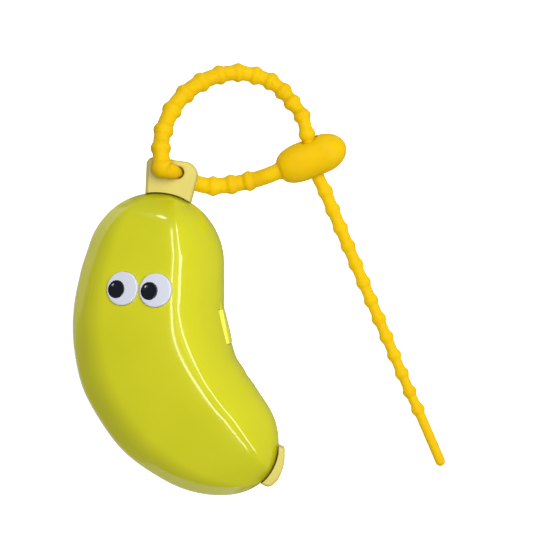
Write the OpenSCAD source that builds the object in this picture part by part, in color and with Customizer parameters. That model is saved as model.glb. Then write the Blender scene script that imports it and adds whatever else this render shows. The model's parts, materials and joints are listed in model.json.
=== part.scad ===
// Banana-shaped travel case for a toothbrush, lying on its flat back with the stem towards +Y.
// Two moulded shells open like a clam on a pinned hinge, and a small clasp holds them shut.
// A beaded silicone strap runs through the stem and back through its own head.

/* [Outline] */
// Length of the straight run below the stem
upper_run = 36.9; // [30:0.1:44]
// Radius of the bend, along the middle line of the case
bend_radius = 48.2; // [42:0.1:60]
// Angle that the middle line turns through
bend_angle = 62.8; // [45:0.1:68]
// Length of the straight run above the tip
lower_run = 26.6; // [22:0.1:34]
// Lean of the upper run, from straight down
lean = -7.9; // [-12:0.1:-5]
// Half width at the stem end
stem_half = 22.2; // [19:0.1:24]
// Half width at the tip end
tip_half = 20.1; // [18:0.1:22]
// Extra half width in the belly
belly = 6.1; // [4:0.1:7.5]
// Length of the rounded stem end
stem_round = 21.1; // [17:0.1:25]
// Length of the rounded tip end
tip_round = 24.7; // [20:0.1:28]

/* [Section] */
// Height of the back shell, from the table to the parting plane
back_depth = 15; // [14:0.1:17]
// Height of the front shell above the parting plane
front_depth = 23; // [21:0.5:25]
// Place of the ridge at the stem end, as a share of the half width
ridge_stem = 0.32; // [0.2:0.01:0.4]
// Place of the ridge at the tip
ridge_tip = 0.11; // [0.05:0.01:0.2]
// How much further out the ridge lies in between
ridge_swing = 0.25; // [0.15:0.01:0.3]
// How far the widest place of the ridge lies towards the tip (1 is the middle)
ridge_skew = 1.76; // [1:0.01:2]
// Depth that the flat base takes off the round back
base_cut = 0.6; // [0.4:0.05:0.9]

/* [Walls and rims] */
// Wall of both shells
wall = 2; // [1.6:0.1:2.4]
// Wall of the back shell at its rim, with the lip
rim_wall = 3.6; // [3.4:0.1:4]
// Gap between the two rims
rim_gap = 0.3; // [0.2:0.05:0.4]
// Height of the lip that rises inside the front shell
lip_rise = 1.5; // [1:0.1:1.8]
// Room between the lip and the front shell's wall
lip_room = 0.45; // [0.4:0.05:0.6]

/* [Hinge] */
// Length of the row of knuckles
hinge_len = 18; // [14:0.5:20]
// Distance of the hinge pin below the parting plane
hinge_drop = 3.5; // [3.2:0.1:4]
// Distance of the hinge pin inside the outline
hinge_inset = 1.9; // [1.7:0.05:2]
// Radius of a knuckle
knuckle_r = 1.4; // [1.25:0.05:1.5]
// Radius of the hinge pin
hinge_pin_r = 0.5; // [0.4:0.05:0.6]
// Running clearance between a pin and its bore
pin_clear = 0.05; // [0.03:0.01:0.08]
// Gap between neighbouring knuckles
knuckle_gap = 0.3; // [0.2:0.05:0.4]
// Depth that the back rim is eased by along the hinge
hinge_ease = 0.35; // [0.3:0.05:0.5]

/* [Clasp] */
// Distance of the clasp's middle along the case, from the stem end
clasp_at = 51; // [48:0.5:56]
// Length of the clasp along the edge
clasp_len = 12.2; // [9:0.2:13]
// Height of the clasp's pin above the parting plane
clasp_pin_rise = 5; // [4.5:0.1:5.5]
// Distance of the clasp's pin inside the outline
clasp_pin_inset = 1.6; // [1.5:0.05:1.7]
// Radius of the clasp's pin
clasp_pin_r = 0.6; // [0.5:0.05:0.7]
// Radius of the clasp's knuckle
clasp_knuckle_r = 1.6; // [1.4:0.05:1.7]
// Thickness of the clasp's plate
clasp_plate = 1.7; // [1.5:0.1:1.8]
// How far the clasp stands out past the edge
clasp_proud = 0.9; // [0.7:0.05:1.2]
// Depth of the clasp below the parting plane
clasp_drop = 6.4; // [6:0.1:6.8]
// How far the hook reaches in
hook_reach = 0.9; // [0.7:0.05:1]
// Room around the clasp
clasp_room = 0.3; // [0.25:0.05:0.35]
// Room around the clasp's knuckle, where its plate swings up
clasp_swing = 0.9; // [0.8:0.05:1]
// Thickness of the cheeks that hold the clasp's pin
clasp_cheek = 2; // [1.8:0.1:2.2]

/* [Stem] */
// Width of the stem where it meets the case
stem_foot = 15.4; // [14:0.1:16]
// Width of the stem at its head
stem_head = 18.2; // [17:0.1:19]
// Height of the stem
stem_tall = 11.9; // [10:0.1:14]
// Depth of the stem, back to front
stem_deep = 11; // [10:0.1:12]
// How far the stem sits to the right of the middle line
stem_shift = 1.4; // [0.8:0.1:1.8]
// Bevel around the stem's faces
stem_bevel = 1.4; // [0.8:0.1:1.6]
// Height of the strap slot
slot_h = 4.2; // [4.1:0.1:4.6]
// Length of the strap slot
slot_len = 6.6; // [6.2:0.1:7]
// Gap between the case and what is fixed to its ends
seat_gap = 0.3; // [0.25:0.05:0.35]

/* [Tip cap] */
// Length of the tip cap along the edge
cap_len = 15.5; // [14:0.1:16.5]
// Thickness of the tip cap
cap_thick = 3.1; // [2.8:0.1:3.5]
// Depth of the tip cap, back to front
cap_deep = 11; // [10:0.1:12]
// Direction of the tip cap, from straight down
cap_angle = 62; // [58:1:66]
// How far the tip cap sits off the end of the middle line
cap_shift = 2.6; // [1.8:0.1:3]

/* [Screws] */
// Radius of a screw's shank
screw_r = 0.9; // [0.8:0.05:1]
// Radius of a screw's head
screw_head_r = 1.7; // [1.6:0.05:1.8]
// Height of a screw's head
screw_head_h = 1.2; // [1:0.1:1.3]
// Depth of a screw in the stem
screw_bite = 4; // [3.5:0.1:4.5]
// Depth of a screw in the tip cap
cap_bite = 1.5; // [1.3:0.1:1.7]
// Half the distance between the stem's screws
screw_spread = 3.4; // [3:0.1:3.6]
// Depth of the screws below the parting plane
screw_drop = 3; // [2.8:0.1:3.2]
// Clearance around a screw's shank
screw_clear = 0.1; // [0.05:0.01:0.15]

/* [Eyes] */
// Radius of an eye
eye_r = 5.9; // [5.5:0.1:6.3]
// Thickness of an eye
eye_thick = 1.5; // [1.3:0.05:1.6]
// Depth of an eye's recess
eye_sink = 0.5; // [0.4:0.05:0.6]
// Radius of a pupil
pupil_r = 3.1; // [2.5:0.05:3.2]
// Depth of a pupil's recess
pupil_sink = 0.3; // [0.2:0.05:0.4]
// Height of a pupil's crown above the eye
pupil_rise = 0.6; // [0.4:0.05:0.8]
// How far a pupil looks to the left
pupil_look = 2.1; // [1.5:0.1:2.5]
// Room around an eye and around a pupil in its recess
eye_room = 0.1; // [0.05:0.01:0.15]
// Place of the left eye along the case
left_eye_at = 34.8; // [32:0.1:40]
// Place of the left eye across the case
left_eye_side = -9.3; // [-11:0.1:-9.2]
// Place of the right eye along the case
right_eye_at = 33.8; // [32:0.1:40]
// Place of the right eye across the case
right_eye_side = 2.2; // [1.4:0.1:3]

/* [Rests inside] */
// Thickness of a brush rest
rest_thick = 1.6; // [1.2:0.1:2]
// Height of a brush rest above the table
rest_top = 7.5; // [6:0.1:9]
// Radius of the notch that holds the brush
rest_notch = 5; // [4:0.1:6]

/* [Strap] */
// Radius of the strap between its beads, at its thick end
strap_neck = 2.85; // [2.6:0.05:2.95]
// Radius of the strap where it squeezes through the stem's slot
slot_neck = 1.9; // [1.8:0.05:2.05]
// Radius of the strap where it passes its own head
pass_neck = 2.3; // [2.1:0.05:2.4]
// Radius of the strap's plain tail
tail_neck = 1.75; // [1.6:0.05:1.8]
// Radius of a bead at the thick end
strap_bead = 3.6; // [3.3:0.05:3.65]
// Radius of the last bead before the head
loop_bead = 3.15; // [2.9:0.05:3.3]
// Radius of the first bead after the head
tail_bead = 2.8; // [2.6:0.05:3]
// Radius of the last bead
end_bead = 2.5; // [2.2:0.05:2.6]
// Length of a bead
bead_len = 3.8; // [3.4:0.1:4]
// Length of a bead's crest
bead_crest = 1; // [0.8:0.1:1.4]
// Radius of the strap's head
head_r = 6.85; // [6.7:0.05:7]
// Length of the head's blunt side, from its middle
head_front = 12.8; // [12.2:0.1:13.4]
// Length of the head's other side, from its middle to the strap
head_rear = 13.8; // [13.4:0.1:14.2]
// Radius of the bore through the head
head_bore = 2.7; // [2.6:0.05:2.9]

/* [Hidden] */
$fn = 48;

shell_green = [0.80, 0.80, 0.18];
stem_cream = [0.90, 0.84, 0.43];
clasp_yellow = [0.88, 0.87, 0.27];
strap_yellow = [0.97, 0.79, 0.02];

// Rings in each rounded end and between them, and columns across each flank
end_rings = 9;
mid_rings = 16;
left_cols = 10;
right_cols = 8;
back_cols = 16;
rings = 2 * end_rings + mid_rings;

// Shape of the front's section: how soft its ridge is on both sides, how far the left facet falls
// towards the edge, how steep the facet beside it is and how softly the two meet, the share of the
// height that stands upright at the edge with its power, and the right flank's power
left_soft = 0.045;
right_soft = 0.1;
flank_power = 1.12;
left_fall = 0.68;
left_steep = 1.95;
facet_blend = 0.12;
left_skirt = 0.09;
skirt_power = 200;
right_power = 1.7;
// Power that shapes the flat-bottomed back
back_power = 2.6;

// The stem end's place puts the middle of the whole case over the origin
stem_end = [-5.1, 46.6];
parting = back_depth;
back_round_depth = back_depth + base_cut;

bend_run = bend_radius * bend_angle * PI / 180;
spine_len = upper_run + bend_run + lower_run;
mid_half = (stem_half + tip_half) / 2 + belly;

// Middle line: a straight run, an arc and a straight run
function heading(a) = [sin(a), -cos(a)];
function side(a) = [cos(a), sin(a)];
function clamp01(x) = max(0, min(1, x));
function turn(s) = lean + bend_angle * clamp01((s - upper_run) / bend_run);
bend_start = stem_end + upper_run * heading(lean);
bend_end = bend_start + bend_radius * (side(lean) - side(lean + bend_angle));
function spine(s) =
    s <= upper_run ? stem_end + s * heading(lean)
    : s <= upper_run + bend_run ? bend_start + bend_radius * (side(lean) - side(turn(s)))
    : bend_end + (s - upper_run - bend_run) * heading(lean + bend_angle);

// Half width along the middle line, without the rounded ends
function ease(u) = u * u * (3 - 2 * u);
function girth(s) =
    let (u = s / spine_len)
    stem_half + (tip_half - stem_half) * ease(u) + belly * pow(sin(180 * u), 2);
function ridge(s) =
    let (u = clamp01(s / spine_len))
    ridge_stem + (ridge_tip - ridge_stem) * u + ridge_swing * sin(180 * pow(u, ridge_skew));

// Ring i of a skin that lies "inset" inside the outer one
function station(i, inset) =
    i <= end_rings ? stem_round - (stem_round - inset) * cos(90 * i / end_rings)
    : i <= end_rings + mid_rings ?
        stem_round + (spine_len - stem_round - tip_round) * (i - end_rings) / mid_rings
    : spine_len - tip_round + (tip_round - inset) * sin(90 * (i - end_rings - mid_rings) / end_rings);
function shrink(i) =
    i <= end_rings ? sin(90 * i / end_rings)
    : i <= end_rings + mid_rings ? 1
    : cos(90 * (i - end_rings - mid_rings) / end_rings);
function half_width(i, inset) = (girth(station(i, 0)) - inset) * shrink(i);
function front_rise(i, inset) =
    (front_depth * girth(station(i, 0)) / mid_half - rim_gap - inset) * shrink(i);
function back_fall(i, inset) =
    (back_round_depth * girth(station(i, 0)) / mid_half - inset) * shrink(i);
function place(i, inset, x, z) =
    let (s = station(i, inset), p = spine(s) + x * side(turn(s)))
    [p.x, p.y, z];

// Height of the two flanks, from 1 on the ridge (v = 0) to 0 at the edge (v = 1)
function softened(v, soft) = (norm([v, soft]) - soft) / (norm([1, soft]) - soft);
function blended_min(a, b) =
    let (near = max(facet_blend - abs(a - b), 0) / facet_blend)
    min(a, b) - near * near * facet_blend / 4;
function left_flank(v) =
    blended_min(1 - left_fall * pow(softened(v, left_soft), flank_power),
                left_steep * (1 - v) + left_skirt * (1 - pow(v, skirt_power)));
function right_flank(v) =
    pow(max(0, 1 - pow(softened(v, right_soft), flank_power)), 1 / right_power);

// Skin of the front: two flanks that meet in a soft ridge
function front_point(i, inset, j) =
    let (
        w = half_width(i, inset),
        r = ridge(station(i, 0)) * w,
        v = j <= left_cols ? cos(90 * j / left_cols) : sin(90 * (j - left_cols) / right_cols),
        x = j <= left_cols ? r - v * (r + w) : r + v * (w - r),
        up = j <= left_cols ? left_flank(v) : right_flank(v)
    )
    place(i, inset, x, parting + rim_gap + front_rise(i, inset) * up);
function front_skin(i, inset) =
    [for (j = [0 : left_cols + right_cols]) front_point(i, inset, j)];

// Skin of the back: one round dome, cut flat where it lies on the table
function back_point(i, inset, j, floor_z) =
    let (v = -cos(180 * j / back_cols), w = half_width(i, inset))
    place(i, inset, v * w,
          max(floor_z,
              parting - back_fall(i, inset) * sqrt(1 - pow(abs(v), back_power))));
function back_skin(i, inset, floor_z) =
    [for (j = [0 : back_cols]) back_point(i, inset, j, floor_z)];

function rim_point(i, inset, hand, z) = place(i, inset, hand * half_width(i, inset), z);
function backwards(list) = [for (k = [len(list) - 1 : -1 : 0]) list[k]];

// A closed strip of section points is swept from end to end. At both ends the section closes up,
// and "ends" gives the one point that each section point runs into.
module swept_shell(sections, ends) {
    n = len(sections) - 1;
    k_all = len(sections[0]);
    k_ends = max(ends) + 1;
    end_points = function (i) [for (e = [0 : k_ends - 1]) sections[i][search(e, ends)[0]]];
    index = function (i, k)
        i == 0 ? ends[k]
        : i == n ? k_ends + (n - 1) * k_all + ends[k]
        : k_ends + (i - 1) * k_all + k;
    points = [
        each end_points(0),
        for (i = [1 : n - 1]) each sections[i],
        each end_points(n)
    ];
    triangles = [
        for (i = [0 : n - 1])
            for (k = [0 : k_all - 1])
                let (
                    k2 = (k + 1) % k_all,
                    a = index(i, k),
                    b = index(i, k2),
                    c = index(i + 1, k2),
                    d = index(i + 1, k)
                )
                each [[a, b, c], [a, c, d]]
    ];
    sound = [for (t = triangles) if (t[0] != t[1] && t[1] != t[2] && t[2] != t[0]) t];
    polyhedron(points = points, faces = sound, convexity = 6);
}

function repeat(value, count) = [for (k = [1 : count]) value];

module front_form() {
    count = left_cols + right_cols + 1;
    sections = [for (i = [0 : rings]) concat(front_skin(i, 0), backwards(front_skin(i, wall)))];
    swept_shell(sections, concat(repeat(0, count), repeat(1, count)));
}

module back_form() {
    count = back_cols + 1;
    lip_out = wall + lip_room;
    lip_top = parting + lip_rise;
    rim = function (i, hand) [
        rim_point(i, lip_out, hand, parting),
        rim_point(i, lip_out, hand, lip_top),
        rim_point(i, rim_wall, hand, lip_top)
    ];
    sections = [
        for (i = [0 : rings])
            concat(
                backwards(back_skin(i, 0, 0)),
                rim(i, -1),
                back_skin(i, rim_wall, wall),
                backwards(rim(i, 1))
            )
    ];
    ends = concat(repeat(0, count), [1, 2, 3], repeat(4, count), [3, 2, 1]);
    swept_shell(sections, ends);
}

// Outline of the case in plan, grown or shrunk by "inset"
function outline(inset) = concat(
    [for (i = [0 : rings]) let (p = rim_point(i, inset, 1, 0)) [p.x, p.y]],
    [for (i = [rings - 1 : -1 : 1]) let (p = rim_point(i, inset, -1, 0)) [p.x, p.y]]
);

// Front surface at a place along and across the case, and its slopes
function end_shrink(s) =
    s < stem_round ? sqrt(1 - pow(1 - s / stem_round, 2))
    : s > spine_len - tip_round ? sqrt(1 - pow(1 - (spine_len - s) / tip_round, 2))
    : 1;
function front_z(s, x) =
    let (
        w = girth(s) * end_shrink(s),
        r = ridge(s) * w,
        up = x < r ? left_flank((r - x) / (r + w)) : right_flank((x - r) / (w - r))
    )
    parting + rim_gap
    + (front_depth * girth(s) / mid_half - rim_gap) * end_shrink(s) * up;
probe = 0.5;
function slope_across(s, x) = (front_z(s, x + probe) - front_z(s, x - probe)) / (2 * probe);
function slope_along(s, x) = (front_z(s + probe, x) - front_z(s - probe, x)) / (2 * probe);

// Stands its children on the front surface, with z along the surface's normal
module on_front(s, x) {
    p = spine(s) + x * side(turn(s));
    fall = slope_across(s, x) * side(turn(s)) + slope_along(s, x) * heading(turn(s));
    translate([p.x, p.y, front_z(s, x)])
        rotate([0, atan(norm(fall)), atan2(-fall.y, -fall.x)])
            rotate([0, 0, -atan2(-fall.y, -fall.x)])
                children();
}

// The hinge lies where the outline reaches furthest to the left
fine_steps = 60;
function left_edge(s) =
    let (p = spine(s) - girth(s) * side(turn(s)))
    [p.x, p.y];
mid_edges = [
    for (k = [0 : fine_steps])
        left_edge(stem_round + (spine_len - stem_round - tip_round) * k / fine_steps)
];
far_left = min([for (p = mid_edges) p.x]);
hinge_mid = [for (p = mid_edges) if (p.x == far_left) p][0];
hinge_x = hinge_mid.x + hinge_inset;
hinge_y = hinge_mid.y;
hinge_z = parting - hinge_drop;
knuckles = 5;
knuckle_len = (hinge_len - (knuckles - 1) * knuckle_gap) / knuckles;
knuckle_step = knuckle_len + knuckle_gap;
swing_room = 1;
// Long enough to cut out through any wall
far_out = 6;
arm_out = 0.9;
arm_in = wall - hinge_inset + 0.3;
front_knuckles = [1, 3];
back_knuckles = [0, 2, 4];

// Places its children with x and z from the pin's axis, at the start of knuckle k along y
module at_knuckle(k) {
    translate([hinge_x, hinge_y - hinge_len / 2 + k * knuckle_step, hinge_z])
        children();
}
module along_y(r, length) {
    rotate([-90, 0, 0])
        cylinder(r = r, h = length);
}
module pin_bore() {
    at_knuckle(0)
        translate([0, -pin_clear, 0])
            along_y(hinge_pin_r + pin_clear, hinge_len + 2 * pin_clear);
}
module front_knuckle() {
    along_y(knuckle_r, knuckle_len);
    translate([-arm_out, 0, 0])
        cube([arm_out + arm_in, knuckle_len, hinge_drop + rim_gap + wall]);
}
module front_knuckle_window() {
    room = knuckle_gap;
    window_len = knuckle_len + 2 * room;
    translate([0, -room, 0]) {
        along_y(knuckle_r + room, window_len);
        translate([-far_out, 0, 0])
            cube([far_out + arm_in + room, window_len, hinge_drop + 2 * lip_rise]);
        translate([-far_out, 0, -knuckle_r - swing_room])
            cube([far_out, window_len, knuckle_r + 2 * swing_room]);
    }
}
module hinge_relief() {
    at_knuckle(0)
        translate([-far_out, -far_out / 2, hinge_drop - hinge_ease])
            cube([far_out + wall - hinge_inset, hinge_len + far_out, 2 * hinge_ease]);
}

// The clasp's own frame: x out of the case, y along its edge towards the stem, z up from the parting
clasp_turn = turn(clasp_at);
clasp_foot = spine(clasp_at) + girth(clasp_at) * side(clasp_turn);
module at_clasp() {
    translate([clasp_foot.x, clasp_foot.y, parting])
        rotate([0, 0, clasp_turn])
            children();
}
// Extrudes a profile drawn in x and z along the clasp's edge, centred
module along_edge(length) {
    rotate([90, 0, 0])
        linear_extrude(length, center = true)
            children();
}
plate_in = clasp_proud - clasp_plate;
plate_top = clasp_pin_rise - clasp_knuckle_r - 0.8;
knuckle_room = clasp_knuckle_r + clasp_swing;
finger_lip = 0.3;
finger_lip_tall = 2;
hook_bottom = -clasp_drop + 1.2;
hook_top = hook_bottom + 1.4;

module clasp_profile() {
    pin_x = -clasp_pin_inset;
    translate([pin_x, clasp_pin_rise])
        circle(r = clasp_knuckle_r);
    polygon([
        [plate_in, -clasp_drop],
        [clasp_proud + finger_lip, -clasp_drop],
        [clasp_proud, -clasp_drop + finger_lip_tall],
        [clasp_proud, plate_top],
        [pin_x + clasp_knuckle_r * cos(20), clasp_pin_rise + clasp_knuckle_r * sin(20)],
        [pin_x, clasp_pin_rise],
        [pin_x, clasp_pin_rise - clasp_knuckle_r],
        [plate_in, plate_top],
        [plate_in, hook_top + 0.4],
        [plate_in - hook_reach, hook_top],
        [plate_in, hook_bottom]
    ]);
}
module clasp_recess() {
    recess_len = clasp_len + 2 * clasp_room;
    floor_x = plate_in - clasp_room;
    along_edge(recess_len) {
        translate([-clasp_pin_inset, clasp_pin_rise]) {
            circle(r = knuckle_room);
            square([far_out, knuckle_room]);
        }
        translate([floor_x, -clasp_drop - clasp_room])
            square([far_out, clasp_drop + clasp_room + clasp_pin_rise]);
        translate([floor_x - hook_reach, hook_bottom - 2 * clasp_room])
            square([far_out, hook_top - hook_bottom + 3 * clasp_room]);
    }
}
module clasp_pin_line(r, length) {
    translate([-clasp_pin_inset, 0, clasp_pin_rise])
        rotate([90, 0, 0])
            cylinder(r = r, h = length, center = true);
}
// Block inside the front shell that carries the clasp's pin
module clasp_boss() {
    back = 1.2;
    boss_in = -clasp_pin_inset - knuckle_room - back;
    boss_low = lip_rise + lip_room;
    boss_high = clasp_pin_rise + knuckle_room + 0.9;
    along_edge(clasp_len + 2 * clasp_room + 2 * clasp_cheek)
        polygon([
            [boss_in, boss_low],
            [-wall / 2, boss_low],
            [-wall / 2, clasp_pin_rise - 1],
            [-clasp_pin_inset - wall / 2, boss_high],
            [boss_in, boss_high - 2 * back]
        ]);
}

// The stem's own frame: x to the right, y out of the case along the middle line
module at_stem() {
    translate([stem_end.x, stem_end.y, parting])
        rotate([0, 0, lean])
            children();
}
stem_left_r = 2.5;
stem_right_r = 4.5;
stem_skirt = 5;
seat_depth = rim_wall;
pocket_deep = 6;
thread_room = 0.2;
slot_x = stem_shift + 1;
slot_y = stem_tall - slot_h;
module stem_profile() {
    hull() {
        translate([stem_shift - stem_foot / 2, -stem_skirt])
            square([stem_foot, stem_skirt]);
        translate([stem_shift - stem_head / 2 + stem_left_r, stem_tall - stem_left_r])
            circle(r = stem_left_r);
        translate([stem_shift + stem_head / 2 - stem_right_r, stem_tall - stem_right_r])
            circle(r = stem_right_r);
    }
}
module stem_slot() {
    run = (slot_len - slot_h) / 2;
    translate([slot_x, slot_y, 0]) {
        for (hand = [-1, 1])
            translate([hand * run, 0, 0])
                cylinder(d = slot_h, h = 2 * stem_deep, center = true);
        cube([2 * run, slot_h, 2 * stem_deep], center = true);
    }
}
// A flat profile made into a block with bevelled faces
module bevelled(deep, bevel) {
    hull() {
        linear_extrude(deep - 2 * bevel, center = true)
            children();
        linear_extrude(deep, center = true)
            offset(delta = -bevel)
                children();
    }
}
// What the case fills, grown by the seat gap, seen in plan
module case_room() {
    translate([0, 0, -back_depth])
        linear_extrude(4 * back_depth)
            polygon(outline(-seat_gap));
}

// The tip cap's own frame: x along the edge, y out of the case
tip_end = spine(spine_len);
module at_tip() {
    translate([tip_end.x, tip_end.y, parting])
        rotate([0, 0, cap_angle - 180])
            children();
}
cap_corner_r = 1.6;
cap_bevel = 1.2;
cap_crown = 0.6;
module cap_profile() {
    hull() {
        for (hand = [-1, 1])
            translate([hand * (cap_len / 2 - cap_corner_r) - cap_shift, -0.4])
                circle(r = cap_corner_r);
        translate([-cap_shift, cap_thick - cap_crown - cap_len / 2])
            intersection() {
                circle(r = cap_len / 2);
                translate([-cap_len / 3, 0])
                    square([2 * cap_len / 3, cap_len / 2]);
            }
    }
}

// A screw along y with its head towards the inside of the case. Its head's seat is at y = 0.
module screw(length) {
    translate([0, -screw_head_h, 0])
        along_y(screw_head_r, screw_head_h);
    along_y(screw_r, length);
}
module screw_way(length, pocket) {
    translate([0, -pocket, 0])
        along_y(screw_head_r + 3 * screw_clear, pocket);
    along_y(screw_r + screw_clear, length);
}

module brush_rest(s) {
    i_mid = end_rings + mid_rings * (s - stem_round) / (spine_len - stem_round - tip_round);
    low = (rim_wall + wall) / 2;
    shape = [
        for (j = [0 : back_cols])
            let (
                v = -cos(180 * j / back_cols),
                w = half_width(i_mid, low)
            )
            [v * w, max(wall / 2, parting - back_fall(i_mid, low) * sqrt(1 - pow(abs(v), back_power)))]
    ];
    p = spine(s);
    translate([p.x, p.y, 0])
        rotate([90, 0, turn(s)])
            linear_extrude(rest_thick, center = true)
                difference() {
                    intersection() {
                        polygon(shape);
                        translate([-mid_half, 0])
                            square([2 * mid_half, rest_top]);
                    }
                    translate([0, rest_top + 1])
                        circle(r = rest_notch);
                }
}
rest_places = [34, 80];

module back_shell() {
    color(shell_green)
        difference() {
            union() {
                back_form();
                for (k = back_knuckles)
                    at_knuckle(k)
                        along_y(knuckle_r, knuckle_len);
                for (s = rest_places)
                    brush_rest(s);
            }
            for (k = front_knuckles)
                at_knuckle(k)
                    front_knuckle_window();
            hinge_relief();
            pin_bore();
            at_clasp()
                clasp_recess();
            at_stem()
                for (hand = [-1, 1])
                    translate([hand * screw_spread, -seat_depth, -screw_drop])
                        screw_way(seat_depth + wall, pocket_deep);
            at_tip()
                translate([0, -seat_depth, -screw_drop])
                    screw_way(seat_depth + wall, pocket_deep);
        }
}

module front_shell() {
    color(shell_green)
        difference() {
            union() {
                front_form();
                for (k = front_knuckles)
                    at_knuckle(k)
                        front_knuckle();
                at_clasp()
                    clasp_boss();
            }
            pin_bore();
            at_clasp() {
                clasp_recess();
                clasp_pin_line(clasp_pin_r + pin_clear, clasp_len + 2 * clasp_cheek);
            }
            on_front(left_eye_at, left_eye_side)
                eye_recess();
            on_front(right_eye_at, right_eye_side)
                eye_recess();
        }
}

module hinge_pin() {
    color("silver")
        at_knuckle(0)
            along_y(hinge_pin_r, hinge_len);
}

module clasp() {
    color(clasp_yellow)
        at_clasp()
            difference() {
                along_edge(clasp_len)
                    clasp_profile();
                clasp_pin_line(clasp_pin_r + pin_clear, clasp_len + 1);
            }
}

module clasp_pin() {
    color("silver")
        at_clasp()
            clasp_pin_line(clasp_pin_r, clasp_len + 2 * clasp_cheek - 2 * pin_clear);
}

module stem_block() {
    color(stem_cream)
        difference() {
            at_stem()
                difference() {
                    bevelled(stem_deep, stem_bevel)
                        stem_profile();
                    stem_slot();
                    for (hand = [-1, 1])
                        translate([hand * screw_spread, -seat_depth, -screw_drop])
                            along_y(screw_r + screw_clear / 2, seat_depth + screw_bite + thread_room);
                }
            case_room();
        }
}

module stem_screws() {
    color("silver")
        at_stem()
            for (hand = [-1, 1])
                translate([hand * screw_spread, -seat_depth, -screw_drop])
                    screw(seat_depth + screw_bite);
}

module tip_cap() {
    color(stem_cream)
        difference() {
            at_tip()
                difference() {
                    bevelled(cap_deep, cap_bevel)
                        cap_profile();
                    translate([0, -seat_depth, -screw_drop])
                        along_y(screw_r + screw_clear / 2, seat_depth + cap_bite + thread_room / 2);
                }
            case_room();
        }
}

module tip_screw() {
    color("silver")
        at_tip()
            translate([0, -seat_depth, -screw_drop])
                screw(seat_depth + cap_bite);
}

// Eyes: a white disc in a shallow recess, with a black pupil let into it
module eye_recess() {
    translate([0, 0, -eye_sink])
        cylinder(r = eye_r + eye_room, h = eye_r);
}
eye_edge = 0.45;
module eye_white() {
    translate([0, 0, -eye_sink])
        difference() {
            union() {
                cylinder(r = eye_r, h = eye_thick - eye_edge);
                cylinder(r = eye_r - eye_edge, h = eye_thick);
                rotate_extrude()
                    translate([eye_r - eye_edge, eye_thick - eye_edge])
                        circle(r = eye_edge);
            }
            translate([-pupil_look, 0, eye_thick - pupil_sink])
                cylinder(r = pupil_r + eye_room / 2, h = 2);
        }
}
module pupil() {
    crown = pupil_sink + pupil_rise;
    ball = (pupil_r * pupil_r + crown * crown) / (2 * crown);
    translate([-pupil_look, 0, eye_thick - eye_sink - pupil_sink])
        intersection() {
            cylinder(r = pupil_r, h = crown);
            translate([0, 0, crown + 0.15 - ball])
                sphere(r = ball);
        }
}
module left_eye_white() {
    color("white")
        on_front(left_eye_at, left_eye_side)
            eye_white();
}
module left_pupil() {
    color([0.1, 0.12, 0.13])
        on_front(left_eye_at, left_eye_side)
            pupil();
}
module right_eye_white() {
    color("white")
        on_front(right_eye_at, right_eye_side)
            eye_white();
}
module right_pupil() {
    color([0.1, 0.12, 0.13])
        on_front(right_eye_at, right_eye_side)
            pupil();
}

// Strap head: an egg that narrows to the strap on one side, with a bore across it
head_mid = [46.4, 59.4, head_r + 0.05];
head_turn = 22;
bore_mid = [46.75, 59.4, 6.4];
bore_turn = -75;
bore_tilt = 17;
head_steps = 12;
head_shoulder = 3.6;
module head_profile() {
    blunt = [
        for (k = [0 : head_steps])
            let (a = 90 * k / head_steps)
            [head_r * sin(a), head_shoulder + (head_front - head_shoulder) * cos(a)]
    ];
    fillet = 1.5;
    narrow = [
        for (k = [0 : head_steps - 1])
            let (a = 90 * k / head_steps)
            [
                strap_neck + (head_r - strap_neck) * cos(a),
                -head_shoulder - (head_rear - fillet - head_shoulder) * sin(a)
            ]
    ];
    polygon(concat(blunt, narrow, [[strap_neck, -head_rear], [0, -head_rear]]));
}
module strap_head() {
    color(strap_yellow)
        difference() {
            translate(head_mid)
                rotate([0, 90, head_turn])
                    rotate_extrude()
                        head_profile();
            translate(bore_mid)
                rotate([0, 90 + bore_tilt, bore_turn])
                    cylinder(r = head_bore, h = 4 * head_r, center = true);
        }
}

// Strap: its route, chosen by hand, starts square on the head's end. It runs behind the stem,
// forward through the slot, round the loop, through the head and out along the table.
neck_end = head_mid - head_rear * [cos(head_turn), sin(head_turn), 0];
neck_lead = 3;
to_slot = [
    neck_end, neck_end - neck_lead * [cos(head_turn), sin(head_turn), 0],
    [27.4, 52, 5.7], [23, 51, 4.4], [17.5, 50, 3.8], [11.5, 49.5, 3.8], [7, 50.1, 4],
    [3.2, 51.7, 4.9], [0.3, 53.2, 6.7], [-0.75, 53.74, 9.8], [-0.85, 53.76, 13],
    [-0.85, 53.78, 16.5], [-0.9, 53.8, 20], [-2.4, 54.1, 23.4]
];
// Round the loop each stop is the middle of a bead
loop_stops = [
    [-5.53, 55.77, 24.9], [-6.23, 62.01, 24.2], [-5.45, 68.3, 20.8], [-2.63, 75.56, 16.6],
    [1.84, 81.49, 13.2], [7.49, 85.84, 9.8], [13.88, 88.57, 6.8], [20.32, 89.54, 4.8],
    [26.55, 88.53, 3.9], [31.87, 86.47, 3.75], [36.27, 82.98, 4], [39.5, 79, 5],
    [42.94, 74.05, 7], [44.65, 67.6, 8.9]
];
// The tail's beads stand evenly between its first stop and its last stop but one
to_tail = [bore_mid, [48.5, 53, 4.3]];
tail_stops = [
    [51.2, 47.6, 3.15], [53.85, 41.2, 3], [67.05, 9.9, 2.9], [80.95, -22.9, 2.8],
    [84.05, -29.6, 2.75], [92.8, -49.8, 2]
];
route = concat(to_slot, loop_stops, to_tail, tail_stops);
// Distances along the strap where its thickness changes
slot_start = 34.5;
slot_finish = 49.5;
slot_taper = 6;
taper_start = 95;
loop_finish = 140;
tail_start = 160;
tail_plain = 250;
// Beads behind the stem: distance to the first one, from bead to bead, and their number
lead_run = [10.2, 6.5, 3];
tail_beads = 13;
strap_sides = 8;
plain_step = 3.2;
curve_steps = 8;

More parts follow.
